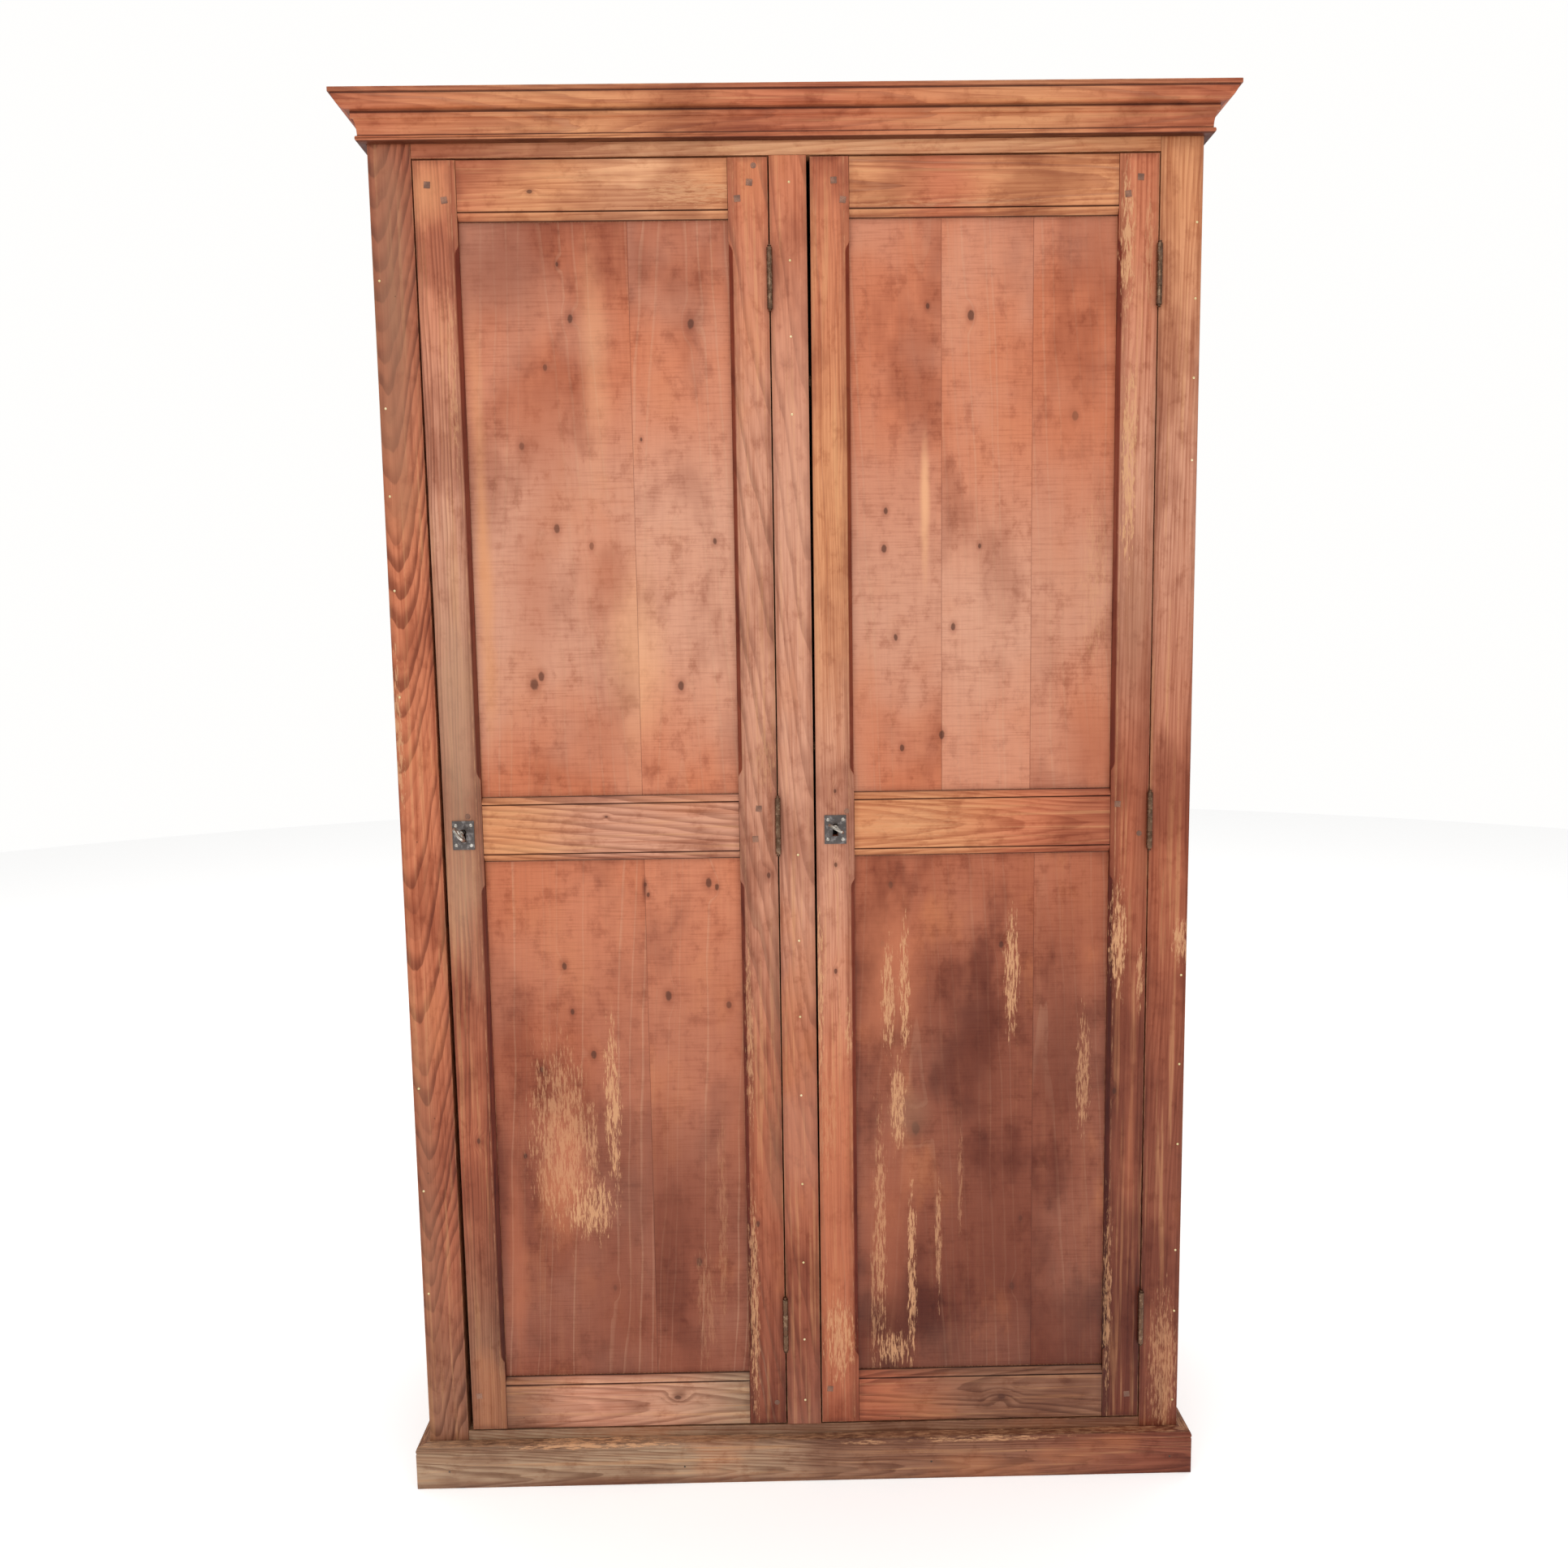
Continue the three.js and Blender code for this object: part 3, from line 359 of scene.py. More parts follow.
# painted sheen: pale patches, and pale tones at mid-height on the middle upright
worked_board("centre_mullion", "root", "frame_pine", aged_pine(
    "waxed pine, middle upright", "XYZ", (60, 2111),
    [chestnut, russet, bloom_and_sheen, bloom_and_sheen, copper], (34, 24, -0.12), 3, ring=9, figure=0.4, late_tone=deep_figure,
    painted_sheen=0.2, rim=(-28, 28, 60, 2140)))

# ---------------------------------------------------------------- rails of the carcass frame
# The head rail is mostly behind the cornice and the sill rail behind the plinth; the strips that show are
# pine boards laid with the grain across, tenoned and pegged between the posts.
# The head rail's tones are paler than its wood: painted light, to brighten it in the shade under the cornice.
worked_board("head_rail", "root", "frame_pine", aged_pine(
    "waxed pine, head rail", "ZYX", (-591, 591),
    [copper, apricot, apricot, honey], (2150, 30, 0.03), 4, ring=6, figure=0.4,
    rim=(2111, 2183, -561, 561), dirt=0.3, edge_wear_and_highlight=(1.6, 0.5)))
worked_board("sill_rail", "root", "frame_pine", aged_pine(
    "waxed pine, sill rail", "ZYX", (-591, 591),
    [straw, walnut], (40, 30, 0.03), 5, figure=0.5, rim=(30, 88, -561, 561)))

# ---------------------------------------------------------------- sides
# Each side is one wide board of stained pine, 18 mm thick, let in behind the post. Long edges, no panels;
# wax has worn thin where hands push the thing about, and the foot is scuffed and dirty.
for node, seed, back in (("left_side", 6, (-613, -611)), ("right_side", 7, (613, 611))):
    # painted sheen: pale patches over each side
    worked_board(node, "root", "frame_pine", aged_pine(
        "waxed pine, " + node.replace("_", " "), "YXZ", (0, 2183),
        [chestnut, walnut, russet, russet], (20 - 60 * (seed - 6), 30, 0.05), seed,
        ring=6, figure=0.6, painted_sheen=0.25, cross=0.25, knots=[(60, 1510, 11), (-90, 860, 9), (140, 430, 13),
            (10, 1980, 8)],
        joins=(30,), stains=[(120, 260, 170, 260, umber, 0.5), (-40, 1250, 120, 200, chestnut, 0.4)],
        bare=[(-190, 1150, 20, 260, 0.6), (190, 120, 120, 90, 0.5)], rim=(-219, 260, 0, 2183), edge_wear_and_highlight=(3, 0.6),
        worm=0.7, back=back))

# ---------------------------------------------------------------- back boards
# Four thin boards of unfinished pine, lapped edge to edge and nailed up the back. They were never stained:
# the wood has only browned and greyed with age, with knots, saw marks and some old damp near the floor.
for number, seed in ((1, 11), (2, 12), (3, 13), (4, 14)):
    middle = sum(corner.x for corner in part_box(f"back_board_{number}")) * 500
    worked_board(f"back_board_{number}", "root", "raw_pine", aged_pine(
        f"bare pine, back board {number}", "XYZ", (68, 2183),
        [("#a98a68", "#b99873", "#bd9a72", "#b8946c"), ("#9c7f60", "#b08e68", "#b8956e", "#ac8862"),
         ("#a4855f", "#bb9a72", "#c2a078", "#b3906a"),
         ("#97795a", "#ad8c69", "#b4926c", "#b08c66")][number - 1],
        (middle + 30 * (-1) ** number, 26, 0.06 * (-1) ** number), seed, ring=5.5, figure=0.8, cross=0.2,
        knots=[(middle - 70, 420 + 130 * number, 9), (middle + 60, 1900 - 210 * number, 12),
            (middle + 20, 1000 + 170 * number, 7)],
        stains=[(middle, 120, 200, 120, "#6f5843", 0.55)], rim=(middle - 157, middle + 157, 68, 2183),
        dirt=0.3,
        edge_wear_and_highlight=(1.5, 0.3), gloss=0.62, cloud=0.12), arris=0.001)

# ---------------------------------------------------------------- partition, floor, top and shelves
# The inside is bare deal: an upright partition behind the middle upright, a floor, a top and six shelves
# sitting in grooves. Inside, the wood has stayed paler, and the shelves' front edges are rubbed.
worked_board("centre_partition", "root", "raw_pine", aged_pine(
    "bare pine, partition", "YXZ", (88, 2163), ["#b08d66", "#bd9a70", "#c09c72"], (60, 30, 0.05), 21,
    ring=5.5,
    figure=0.65, knots=[(-40, 1420, 9), (90, 700, 11)], joins=(20,), rim=(-193, 248, 88, 2163), dirt=0.3,
    gloss=0.6, cloud=0.12))
worked_board("floor_board", "root", "raw_pine", aged_pine(
    "bare pine, floor", "YZX", (-612, 612), ["#a78461", "#b6926a", "#ad8963"], (70, 30, 0.05), 22, ring=5.5,
    figure=0.6, knots=[(40, -300, 10), (120, 260, 9)], joins=(40,), rim=(-193, 248, -607, 607), dirt=0.5,
    gloss=0.6, cloud=0.12))
worked_board("top_board", "root", "raw_pine", aged_pine(
    "bare pine, top", "YZX", (-612, 612), ["#9d8061", "#a98b69", "#a08262"], (60, 30, -0.05), 23, ring=5.5,
    figure=0.6, knots=[(90, -380, 12), (-60, 190, 9), (170, 420, 10)], joins=(30,),
    stains=[(40, 100, 260, 500, "#7d6c58", 0.4)], rim=(-193, 248, -612, 612), dirt=0.6, gloss=0.7,
    cloud=0.12))
for side in ("left", "right"):
    for number in (1, 2, 3):
        node = f"{side}_shelf_{number}"
        low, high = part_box(node)
        middle = (low.x + high.x) * 500
        worked_board(node, "root", "raw_pine", aged_pine(
            f"bare pine, {side} shelf {number}", "YZX", (middle - 304, middle + 304),
            ["#b39068", "#c09c72", "#b8946b"],
            (30 + 50 * number, 30, 0.06 * (-1) ** number), 30 + number + 5 * (side == "left"), ring=5.5,
            figure=0.6,
            knots=[(-20 + 60 * number, middle + 140 - 90 * number, 9)], joins=(15 + 20 * number,),
            rim=(-175, 248, middle - 302, middle + 302), edge_wear_and_highlight=(3, 0.6), gloss=0.6, cloud=0.12))

# ---------------------------------------------------------------- cornice
# A planed ogee moulding in stained pine, mitred at the corners and nailed round the top: a square fillet,
# the ogee, a flat frieze and a small bead. Its edges are painted pale, worn and partly a painted highlight,
# and a dark band along the fillet and dark lines in its quirks are painted shade.
for node, grain, ends in (("cornice_front", "ZYX", (-666, 666)), ("cornice_left", "ZXY", (-261, 261)),
        ("cornice_right", "ZXY", (-261, 261))):
    front = node == "cornice_front"
    worked_board(node, "root", "frame_pine", aged_pine(
        "waxed pine, " + node.replace("_", " "), grain, ends,
        [copper, honey, copper, honey, copper] if front else [russet, chestnut],
        (2160, 34, 0.03), 41 if front else 42, figure=0.5, pale=0.15,
        # painted shade: a dark band along the fillet of the front, and dark lines in the quirks
        stains=[(2190, 0, 5, 2000, chestnut, 0.3)] if front else [],
        quirk_shade=[(2187.6, 1.3), (2169.4, 2.4), (2139.6, 1.4), (2131.5, 1.5)],
        rim=(2100, 2195, ends[0] - 20, ends[1] + 20),
        dirt=0.35, edge_wear_and_highlight=(2.2, 0.6)), arris=0.0008)

# ---------------------------------------------------------------- plinth
# The skirting round the foot, a pine board with a worn round nosing along its top, mitred and nailed on.
# It has gone grey-brown from mops and boots, and furniture beetle has been at it.
for node, grain, ends in (("plinth_front", "ZYX", (-645, 645)), ("plinth_left", "ZXY", (-240, 261)),
        ("plinth_right", "ZXY", (-240, 261))):
    worked_board(node, "root", "frame_pine", aged_pine(
        "scuffed pine, " + node.replace("_", " "), grain, ends,
        [straw, straw, walnut, chestnut] if node == "plinth_front" else [walnut, chestnut],
        (20, 26, 0.04), 44, figure=0.55, late_tone=deep_figure, stains=[(4, -300, 14, 500, umber, 0.4)],
        bare=[(70, -350, 6, 160, 0.8), (68, 300, 6, 140, 0.7), (66, 100, 5, 60, 0.6)],
        rim=(0, 73, ends[0] - 20, ends[1] + 20), dirt=0.5, edge_wear_and_highlight=(2.6, 0.5), worm=0.8, gloss=0.5),
        arris=0.0012)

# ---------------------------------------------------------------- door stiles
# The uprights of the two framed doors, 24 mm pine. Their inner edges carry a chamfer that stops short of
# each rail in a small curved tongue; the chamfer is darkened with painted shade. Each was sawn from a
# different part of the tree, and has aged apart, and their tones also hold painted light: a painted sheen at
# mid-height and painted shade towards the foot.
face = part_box("left_door_hinge_stile")[0].y * 1000
for node, tones, pith, seed, look in (
    ("left_door_lock_stile", [walnut, russet, russet, bloom_and_sheen, copper], (-700, 60, -0.012), 51,
     dict(ring=4.6, figure=0.55, late_tone=deep_figure, knots=[(-523, 590, 4)],
          stains=[(-530, 1180, 60, 420, straw, 0.5), (-540, 2060, 40, 60, honey, 0.6)],
          bare=[(-512, 1790, 8, 160, 0.5)], rim=(-559, -504, 91, 2108))),
    ("left_door_hinge_stile", [chestnut, russet, bloom_and_sheen, bloom_and_sheen, copper], (-12, 24, -0.16), 52,
     dict(ring=12, figure=0.5, late_tone=deep_figure, pale=0.15, knots=[(-72, 440, 4), (-45, 1020, 4)],
          stains=[(-40, 560, 22, 120, walnut, 0.5), (-36, 850, 14, 200, walnut, 0.5)],
          bare=[(-80, 300, 10, 240, 0.7), (-80, 760, 8, 200, 0.6), (-50, 1200, 24, 60, 0.4)],
          rim=(-82, -30, 91, 2108))),
    ("right_door_lock_stile", [russet, copper, bloom_and_sheen, honey, copper], (-40, 26, 0.012), 53,
     dict(ring=4.6, figure=0.35, pale=0.2, knots=[(62, 1153, 3), (62, 1035, 3), (60, 862, 3)],
         stains=[(60, 500, 40, 240, russet, 0.4)],
          bare=[(34, 830, 8, 170, 0.8), (60, 240, 30, 80, 0.7), (80, 760, 7, 60, 0.7),
              (40, 620, 24, 130, 0.35)], rim=(30, 84, 91, 2108))),
    ("right_door_hinge_stile", [umber, chestnut, russet, bloom_and_sheen, copper], (640, 34, 0.02), 54,
     dict(ring=6, figure=0.45, knots=[(512, 655, 4)],
          stains=[(538, 560, 16, 170, russet, 0.6), (512, 560, 14, 90, chestnut, 0.6),
              (548, 1150, 12, 300, chestnut, 0.5),
                  (530, 1420, 30, 180, walnut, 0.4)],
          bare=[(512, 1980, 12, 130, 0.95), (520, 1650, 14, 175, 0.95), (514, 905, 16, 105, 1.0),
              (550, 840, 6, 60, 0.7),
                (506, 300, 8, 200, 0.6), (545, 1960, 8, 120, 0.5)], rim=(507, 559, 91, 2108))),
):
    # the face depth darkens each stile's chamfer with painted shade
    worked_board(node, node.split("_")[0] + "_door", "door_pine", aged_pine(
        "waxed pine, " + node.replace("_", " "), "XYZ", (91, 2108), tones, pith, seed, face=face,
        back=(face + 20, face + 22), **look))

# ---------------------------------------------------------------- door rails
# Three rails to each door, tenoned through the stiles with the grain running across, so they show the tree's
# long arches lying on their sides. A small stuck moulding runs along each edge next to a panel.
for node, tones, pith, seed, look in (
    ("left_door_top_rail", [copper, honey, apricot, honey], (2100, 24, 0.03), 61,
     dict(ring=7, figure=0.3, knots=[(2062, -386, 3)],
         bare=[(2060, -150, 26, 90, 0.6), (2085, -300, 12, 90, 0.4)])),
    ("left_door_mid_rail", [honey, bloom_and_sheen, bloom_and_sheen], (1168, 26, -0.1), 62,
     dict(ring=10, figure=0.55, late_tone=deep_figure, knots=[(1118, -300, 2)])),
    ("left_door_bottom_rail", [walnut, bloom_and_sheen, straw], (120, 22, 0.08), 63,
     dict(ring=7, figure=0.55, late_tone=deep_figure, knots=[(140, -210, 5)], worm=0.5)),
    ("right_door_top_rail", [honey, copper, honey, honey], (2068, 18, 0.045), 64,
     dict(ring=7.5, figure=0.55, pale=0.2, bare=[(2040, 250, 8, 180, 0.4)])),
    ("right_door_mid_rail", [honey, honey, copper, russet], (1096, 22, 0.07), 65,
     dict(ring=7.5, figure=0.5, bare=[(1100, 180, 30, 110, 0.35)])),
    ("right_door_bottom_rail", [russet, walnut, walnut], (150, 22, -0.08), 66,
     dict(ring=7, figure=0.6, late_tone=deep_figure, knots=[(130, 330, 6)], worm=0.6)),
):
    low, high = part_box(node)
    ends = (-496, -90) if node.startswith("left") else (92, 499)
    moulded = [low.z * 1000] * ("bottom" not in node) + [high.z * 1000] * ("top" not in node)
    # painted shade: dark lines along both edges of each rail's moulding
    quirk_shade = [(edge + (12.2 if edge < low.z * 1000 + 1 else -12.2), 1.7) for edge in moulded] + [(edge,
            1.8) for edge in moulded]
    worked_board(node, node.split("_")[0] + "_door", "door_pine", aged_pine(
        "waxed pine, " + node.replace("_", " "), "ZYX", ends, tones, pith, seed,
        rim=(low.z * 1000, high.z * 1000, ends[0], ends[1]), dirt=0.3, edge_wear_and_highlight=(1.6, 0.2),
        quirk_shade=quirk_shade, back=(face + 20, face + 22), **look))

# ---------------------------------------------------------------- door panels
# Thin panels, each glued up from two or three pine planks, sitting loose in grooves with the grain upright.
# They took the stain unevenly: red where it pooled, scrubbed pale lower down. At eye level the upper panels
# carry a painted sheen, pale tones and patches for the window's reflection in the wax, and the tones darken
# towards the foot partly as painted shade.
for node, tones, pith, seed, look in (
    ("left_door_upper_panel", [copper, bloom_and_sheen, bloom_and_sheen, copper, russet], (-384, 20, 0.05), 71,
     dict(joins=(-243,), pale=0.2, painted_sheen=0.35, cloud=0.45,
          knots=[(-413, 1692, 5), (-333, 1881, 5), (-150, 1871, 6), (-374, 1809, 4), (-364, 1567, 5),
              (-311, 1540, 4),
                 (-408, 1328, 7), (-396, 1340, 5), (-120, 1545, 4), (-178, 1322, 5), (-350, 1960, 3),
                 (-230, 1700, 2.5)],
          stains=[(-440, 1950, 90, 90, chestnut, 0.6), (-380, 1730, 70, 130, russet, 0.55),
              (-400, 1480, 45, 130, russet, 0.4),
                  (-478, 1560, 16, 330, honey, 0.75), (-290, 1500, 60, 120, copper, 0.4),
                  (-310, 1240, 60, 70, russet, 0.4),
                  (-300, 1830, 30, 200, apricot, 0.35), (-250, 1380, 55, 160, apricot, 0.5)],
          rim=(-496, -90, 1151, 2021))),
    ("right_door_upper_panel", [copper, bloom_and_sheen, copper, copper], (206, 24, -0.045), 72,
     dict(joins=(232, 372), pale=0.2, painted_sheen=0.4, cloud=0.45,
          knots=[(211, 1893, 3), (277, 1879, 5), (438, 1727, 5), (145, 1587, 4), (142, 1530, 4),
              (291, 1532, 3), (250, 1408, 4),
                 (160, 1393, 4), (232, 1239, 5), (169, 1219, 4)],
          stains=[(470, 1960, 40, 120, russet, 0.6), (470, 1200, 60, 90, russet, 0.6),
              (440, 1700, 60, 160, copper, 0.35),
                  (206, 1610, 9, 130, apricot, 0.8), (120, 1250, 30, 90, copper, 0.4)],
          bare=[(470, 1480, 26, 160, 0.35)], rim=(91, 499, 1151, 2021))),
    ("left_door_lower_panel", [chestnut, chestnut, russet, copper], (-150, 26, 0.05), 73,
     dict(joins=(-243,), pale=0.25, painted_sheen=0.15, cloud=0.5,
          knots=[(-242, 1007, 3), (-238, 990, 3), (-141, 1009, 6), (-128, 1001, 4), (-376, 876, 5),
              (-209, 824, 6), (-112, 807, 5),
                 (-365, 800, 4), (-333, 728, 5), (-418, 705, 5), (-170, 372, 5), (-450, 560, 3),
                 (-310, 330, 4)],
          stains=[(-375, 560, 50, 170, copper, 0.5), (-220, 470, 90, 150, chestnut, 0.5),
              (-100, 640, 40, 180, russet, 0.4), (-310, 300, 60, 160, chestnut, 0.5),
                  (-470, 400, 18, 260, russet, 0.6), (-244, 1000, 5, 24, umber, 0.8),
                  (-180, 200, 110, 60, chestnut, 0.5)],
          bare=[(-390, 590, 60, 180, 0.55), (-345, 470, 44, 60, 0.9), (-305, 640, 16, 160, 0.95),
              (-340, 560, 12, 110, 0.6),
                (-130, 450, 10, 200, 0.3), (-160, 300, 20, 120, 0.3)], rim=(-496, -90, 179, 1048))),
    ("right_door_lower_panel", [umber, chestnut, chestnut, russet], (190, 30, 0.04), 74,
     dict(joins=(380,), pale=0.1, painted_sheen=0.1, cloud=0.8,
          knots=[(189, 595, 8), (362, 437, 4), (137, 904, 4), (328, 900, 5), (348, 319, 5), (150, 1000, 4)],
          stains=[(145, 870, 60, 190, copper, 0.65), (140, 420, 46, 260, russet, 0.5),
              (290, 700, 60, 130, umber, 0.55),
                  (430, 690, 60, 130, umber, 0.6), (330, 420, 120, 200, umber, 0.5),
                  (430, 230, 90, 110, umber, 0.5),
                  (180, 620, 40, 50, walnut, 0.5), (470, 900, 26, 120, russet, 0.4),
                  (160, 330, 40, 200, chestnut, 0.4)],
          bare=[(145, 815, 14, 110, 0.8), (172, 830, 10, 120, 0.95), (160, 640, 16, 90, 0.8),
              (182, 340, 9, 190, 0.9),
                (226, 400, 7, 120, 0.6), (345, 850, 14, 120, 0.9), (463, 680, 14, 120, 0.6),
                (130, 420, 12, 240, 0.6),
                (262, 500, 5, 120, 0.4), (150, 215, 34, 34, 0.8), (118, 300, 5, 160, 0.5)],
                rim=(91, 499, 179, 1048))),
):
    worked_board(node, node.split("_")[0] + "_door", "panel_pine", aged_pine(
        "waxed pine, " + node.replace("_", " "), "XYZ", look["rim"][2:], tones, pith, seed, ring=9.5,
        cross=0.26, dirt=0.2,
        figure=0.1, edge_wear_and_highlight=(1.8, 0.45), coarse=0.15,
        back=(face + 13.5, face + 14.5), **look), arris=0.0006)

# ---------------------------------------------------------------- pegs
# Square oak pegs, about 10 mm, driven through the tenons of the doors and trimmed off on the face with a
# chisel. Wood shrinks away from its end grain, so each stands a hair proud and dark wax rings it.
metal_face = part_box("left_post")[0].y


def end_grain(name, tone):
    """Oak cut across: darker than the board, with open pores and the marks of the chisel."""
    material, tree = new_finish(name)
    place = add(tree, "TexCoord", out="Object")
    pores = add(tree, "TexNoise", {"Vector": place, "Scale": 900.0, "Detail": 3.0, "Roughness": 0.7})
    grime = add(tree, "TexNoise", {"Vector": place, "Scale": 55.0, "Detail": 2.0})
    fade = add(tree, "MapRange", {"Value": grime, "From Min": 0.35, "From Max": 0.65},
        interpolation_type="SMOOTHSTEP")
    surface = add(tree, "Mix", {0: fade, 6: paint(tone), 7: paint("#a5735a")}, out=2, data_type="RGBA")
    specks = add(tree, "MapRange", {"Value": pores, "From Min": 0.45, "From Max": 0.7, "To Max": 0.8})
    surface = add(tree, "Mix", {0: specks, 6: surface, 7: paint("#3a241a")}, out=2, data_type="RGBA")
    normal = add(tree, "Bump", {"Height": pores, "Strength": 0.5, "Distance": 0.0003})
    shader = add(tree, "BsdfPrincipled", {"Base Color": surface, "Roughness": 0.55, "Normal": normal})
    add(tree, "OutputMaterial", {"Surface": shader})
    return material


oak = end_grain("oak peg, end grain", "#7a5240")
for side, pegs in (
    ("left", [(-538.5, 2073, 10, 4), (-514, 2051, 10, -8), (-51, 2096, 9, 3), (-57.6, 2072, 10, 6),
            (-76, 2049, 10, -5),
              (-59, 1127, 10, 5), (-65, 1078.5, 10, -4), (-518.3, 1122, 9, 0), (-45, 128, 9, 7),
              (-540, 150, 10, -6)]),
    ("right", [(69, 2074, 10, -3), (82.6, 2046, 10, 8), (531, 2074, 10, 4), (512.5, 2050, 10, -6),
            (80, 1121, 9, 0),
               (510, 1125.5, 10, 3), (545, 1078, 9, -5), (44, 150, 10, 5), (540, 130, 10, -4)]),
):
    work = bmesh.new()
    for x, z, width, turn in pegs:
        stand = (Matrix.Translation((x / 1000, metal_face + 0.0012,
                    z / 1000)) @ Matrix.Rotation(math.radians(turn), 4, "Y")
                 @ Matrix.Rotation(math.pi / 2, 4, "X") @ Matrix.Rotation(math.pi / 4, 4, "Z"))
        # The smaller pegs were shaved round. A square one's radius reaches to its corners, and both taper.
        segments, foot, head = (4, 1414, 1480) if width > 9 else (12, 2000, 2080)
        peg = bmesh.ops.create_cone(work, cap_ends=True, segments=segments, radius1=width / foot,
                                    radius2=width / head, depth=0.0034, matrix=stand)
        rim = {edge for vert in peg["verts"] for edge in vert.link_edges}
        round_over(work, list(rim), 0.0003)
    set_in_place(work, f"{side}_door_pegs", f"{side}_door", "door_pine", oak)

# ---------------------------------------------------------------- nails
# Small round-headed brass nails down the middle upright and the outer edge of each post, where a cloth strip
# was once tacked on, and flat iron cut nails that hold the sides, the back boards and the plinth.


def nail_heads(work, places, radius, rise, facing="FRONT"):
    """Round heads, part sunk in the wood, each a ball flattened to its rise above the face."""
    turn = {"FRONT": Matrix.Rotation(math.pi / 2, 4, "X"), "BACK": Matrix.Rotation(-math.pi / 2, 4, "X"),
            "LEFT": Matrix.Rotation(-math.pi / 2, 4, "Y"),
            "RIGHT": Matrix.Rotation(math.pi / 2, 4, "Y")}[facing]
    for place in places:
        flat = Matrix.Translation(place) @ turn @ Matrix.Diagonal((1, 1, rise / radius, 1))
        bmesh.ops.create_uvsphere(work, u_segments=12, v_segments=7, radius=radius, matrix=flat)


def worn_metal(name, tone, rubbed, rust, rough, shine=0.9, hammer=0.0004):
    """Old worked metal: a dark skin of oxide and wax, bright where it is rubbed, brown where damp got in."""
    material, tree = new_finish(name)
    place = add(tree, "TexCoord", out="Object")
    blows = add(tree, "TexNoise", {"Vector": place, "Scale": 160.0, "Detail": 3.0, "Roughness": 0.6})
    pits = add(tree, "TexNoise", {"Vector": place, "Scale": 620.0, "Detail": 4.0, "Roughness": 0.7})
    damp = add(tree, "TexNoise", {"Vector": place, "Scale": 70.0, "Detail": 4.0, "Roughness": 0.65})
    bright = add(tree, "MapRange", {"Value": blows, "From Min": 0.48, "From Max": 0.68},
        interpolation_type="SMOOTHSTEP")
    surface = add(tree, "Mix", {0: bright, 6: paint(tone), 7: paint(rubbed)}, out=2, data_type="RGBA")
    brown = add(tree, "MapRange", {"Value": damp, "From Min": 0.52, "From Max": 0.68, "To Max": 0.75},
        interpolation_type="SMOOTHSTEP")
    surface = add(tree, "Mix", {0: brown, 6: surface, 7: paint(rust)}, out=2, data_type="RGBA")
    metal = add(tree, "MapRange", {"Value": brown, "To Min": shine, "To Max": shine * 0.35})
    gloss = add(tree, "MapRange", {"Value": pits, "From Min": 0.3, "From Max": 0.7, "To Min": rough - 0.08,
            "To Max": rough + 0.14})
    relief = add(tree, "Math", {0: pits, 1: 0.3, 2: blows}, operation="MULTIPLY_ADD")
    normal = add(tree, "Bump", {"Height": relief, "Strength": 0.7, "Distance": hammer})
    shader = add(tree, "BsdfPrincipled", {"Base Color": surface, "Metallic": metal, "Roughness": gloss,
            "Normal": normal})
    add(tree, "OutputMaterial", {"Surface": shader})
    return material


brass = worn_metal("brass nail, dulled", "#e2cf98", "#fff2cc", "#c9ab74", 0.45, shine=0.5, hammer=0.00005)
nail_iron = worn_metal("cut nail, rusted iron", "#4a4038", "#75695d", "#5c3a26", 0.6, shine=0.6)
work = bmesh.new()
bright_nails = [(0.002, z) for z in (2.072, 1.959, 1.848, 1.733, 1.052, 0.913, 0.788, 0.657, 0.507, 0.372,
        0.238, 0.131)]
bright_nails += [(-0.616, z) for z in (1.936, 1.749, 1.618, 1.475, 1.311, 0.680, 0.507, 0.331)]
bright_nails += [(0.617, z) for z in (2.008, 1.897, 1.780, 1.657, 0.846, 0.698, 0.563, 0.381, 0.275, 0.118)]
nail_heads(work, [(x, metal_face, z) for x, z in bright_nails], 0.0019, 0.0011)
set_in_place(work, "frame_nails", "root", "iron", brass)

work = bmesh.new()
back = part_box("back_board_1")[1].y
rows = (0.080, 0.650, 1.221, 1.792, 2.173)
nail_heads(work, [(x, back, z) for z in rows for x in (-0.575, -0.46, -0.335, -0.265, -0.15, -0.03, 0.035,
            0.16, 0.28, 0.345, 0.465, 0.58)],
           0.0029, 0.0009, "BACK")
for side, facing in ((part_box("left_side")[0].x, "LEFT"), (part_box("right_side")[1].x, "RIGHT")):
    nail_heads(work, [(side, y, z) for z in rows[1:4] for y in (-0.12, 0.04, 0.19)], 0.0026, 0.0007, facing)
low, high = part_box("plinth_front")
nail_heads(work, [(x, low.y + 0.0006, 0.030) for x in (-0.59, -0.2, 0.21, 0.608)], 0.0022, 0.0006)
set_in_place(work, "carcass_nails", "root", "iron", nail_iron)

# ---------------------------------------------------------------- hinges
# Three iron butt hinges to a door, 89 mm long, let into the edges so that only the barrel shows: two knuckles
# on the frame's leaf, one on the door's, a loose pin with round tips, and slotted screws through each leaf.


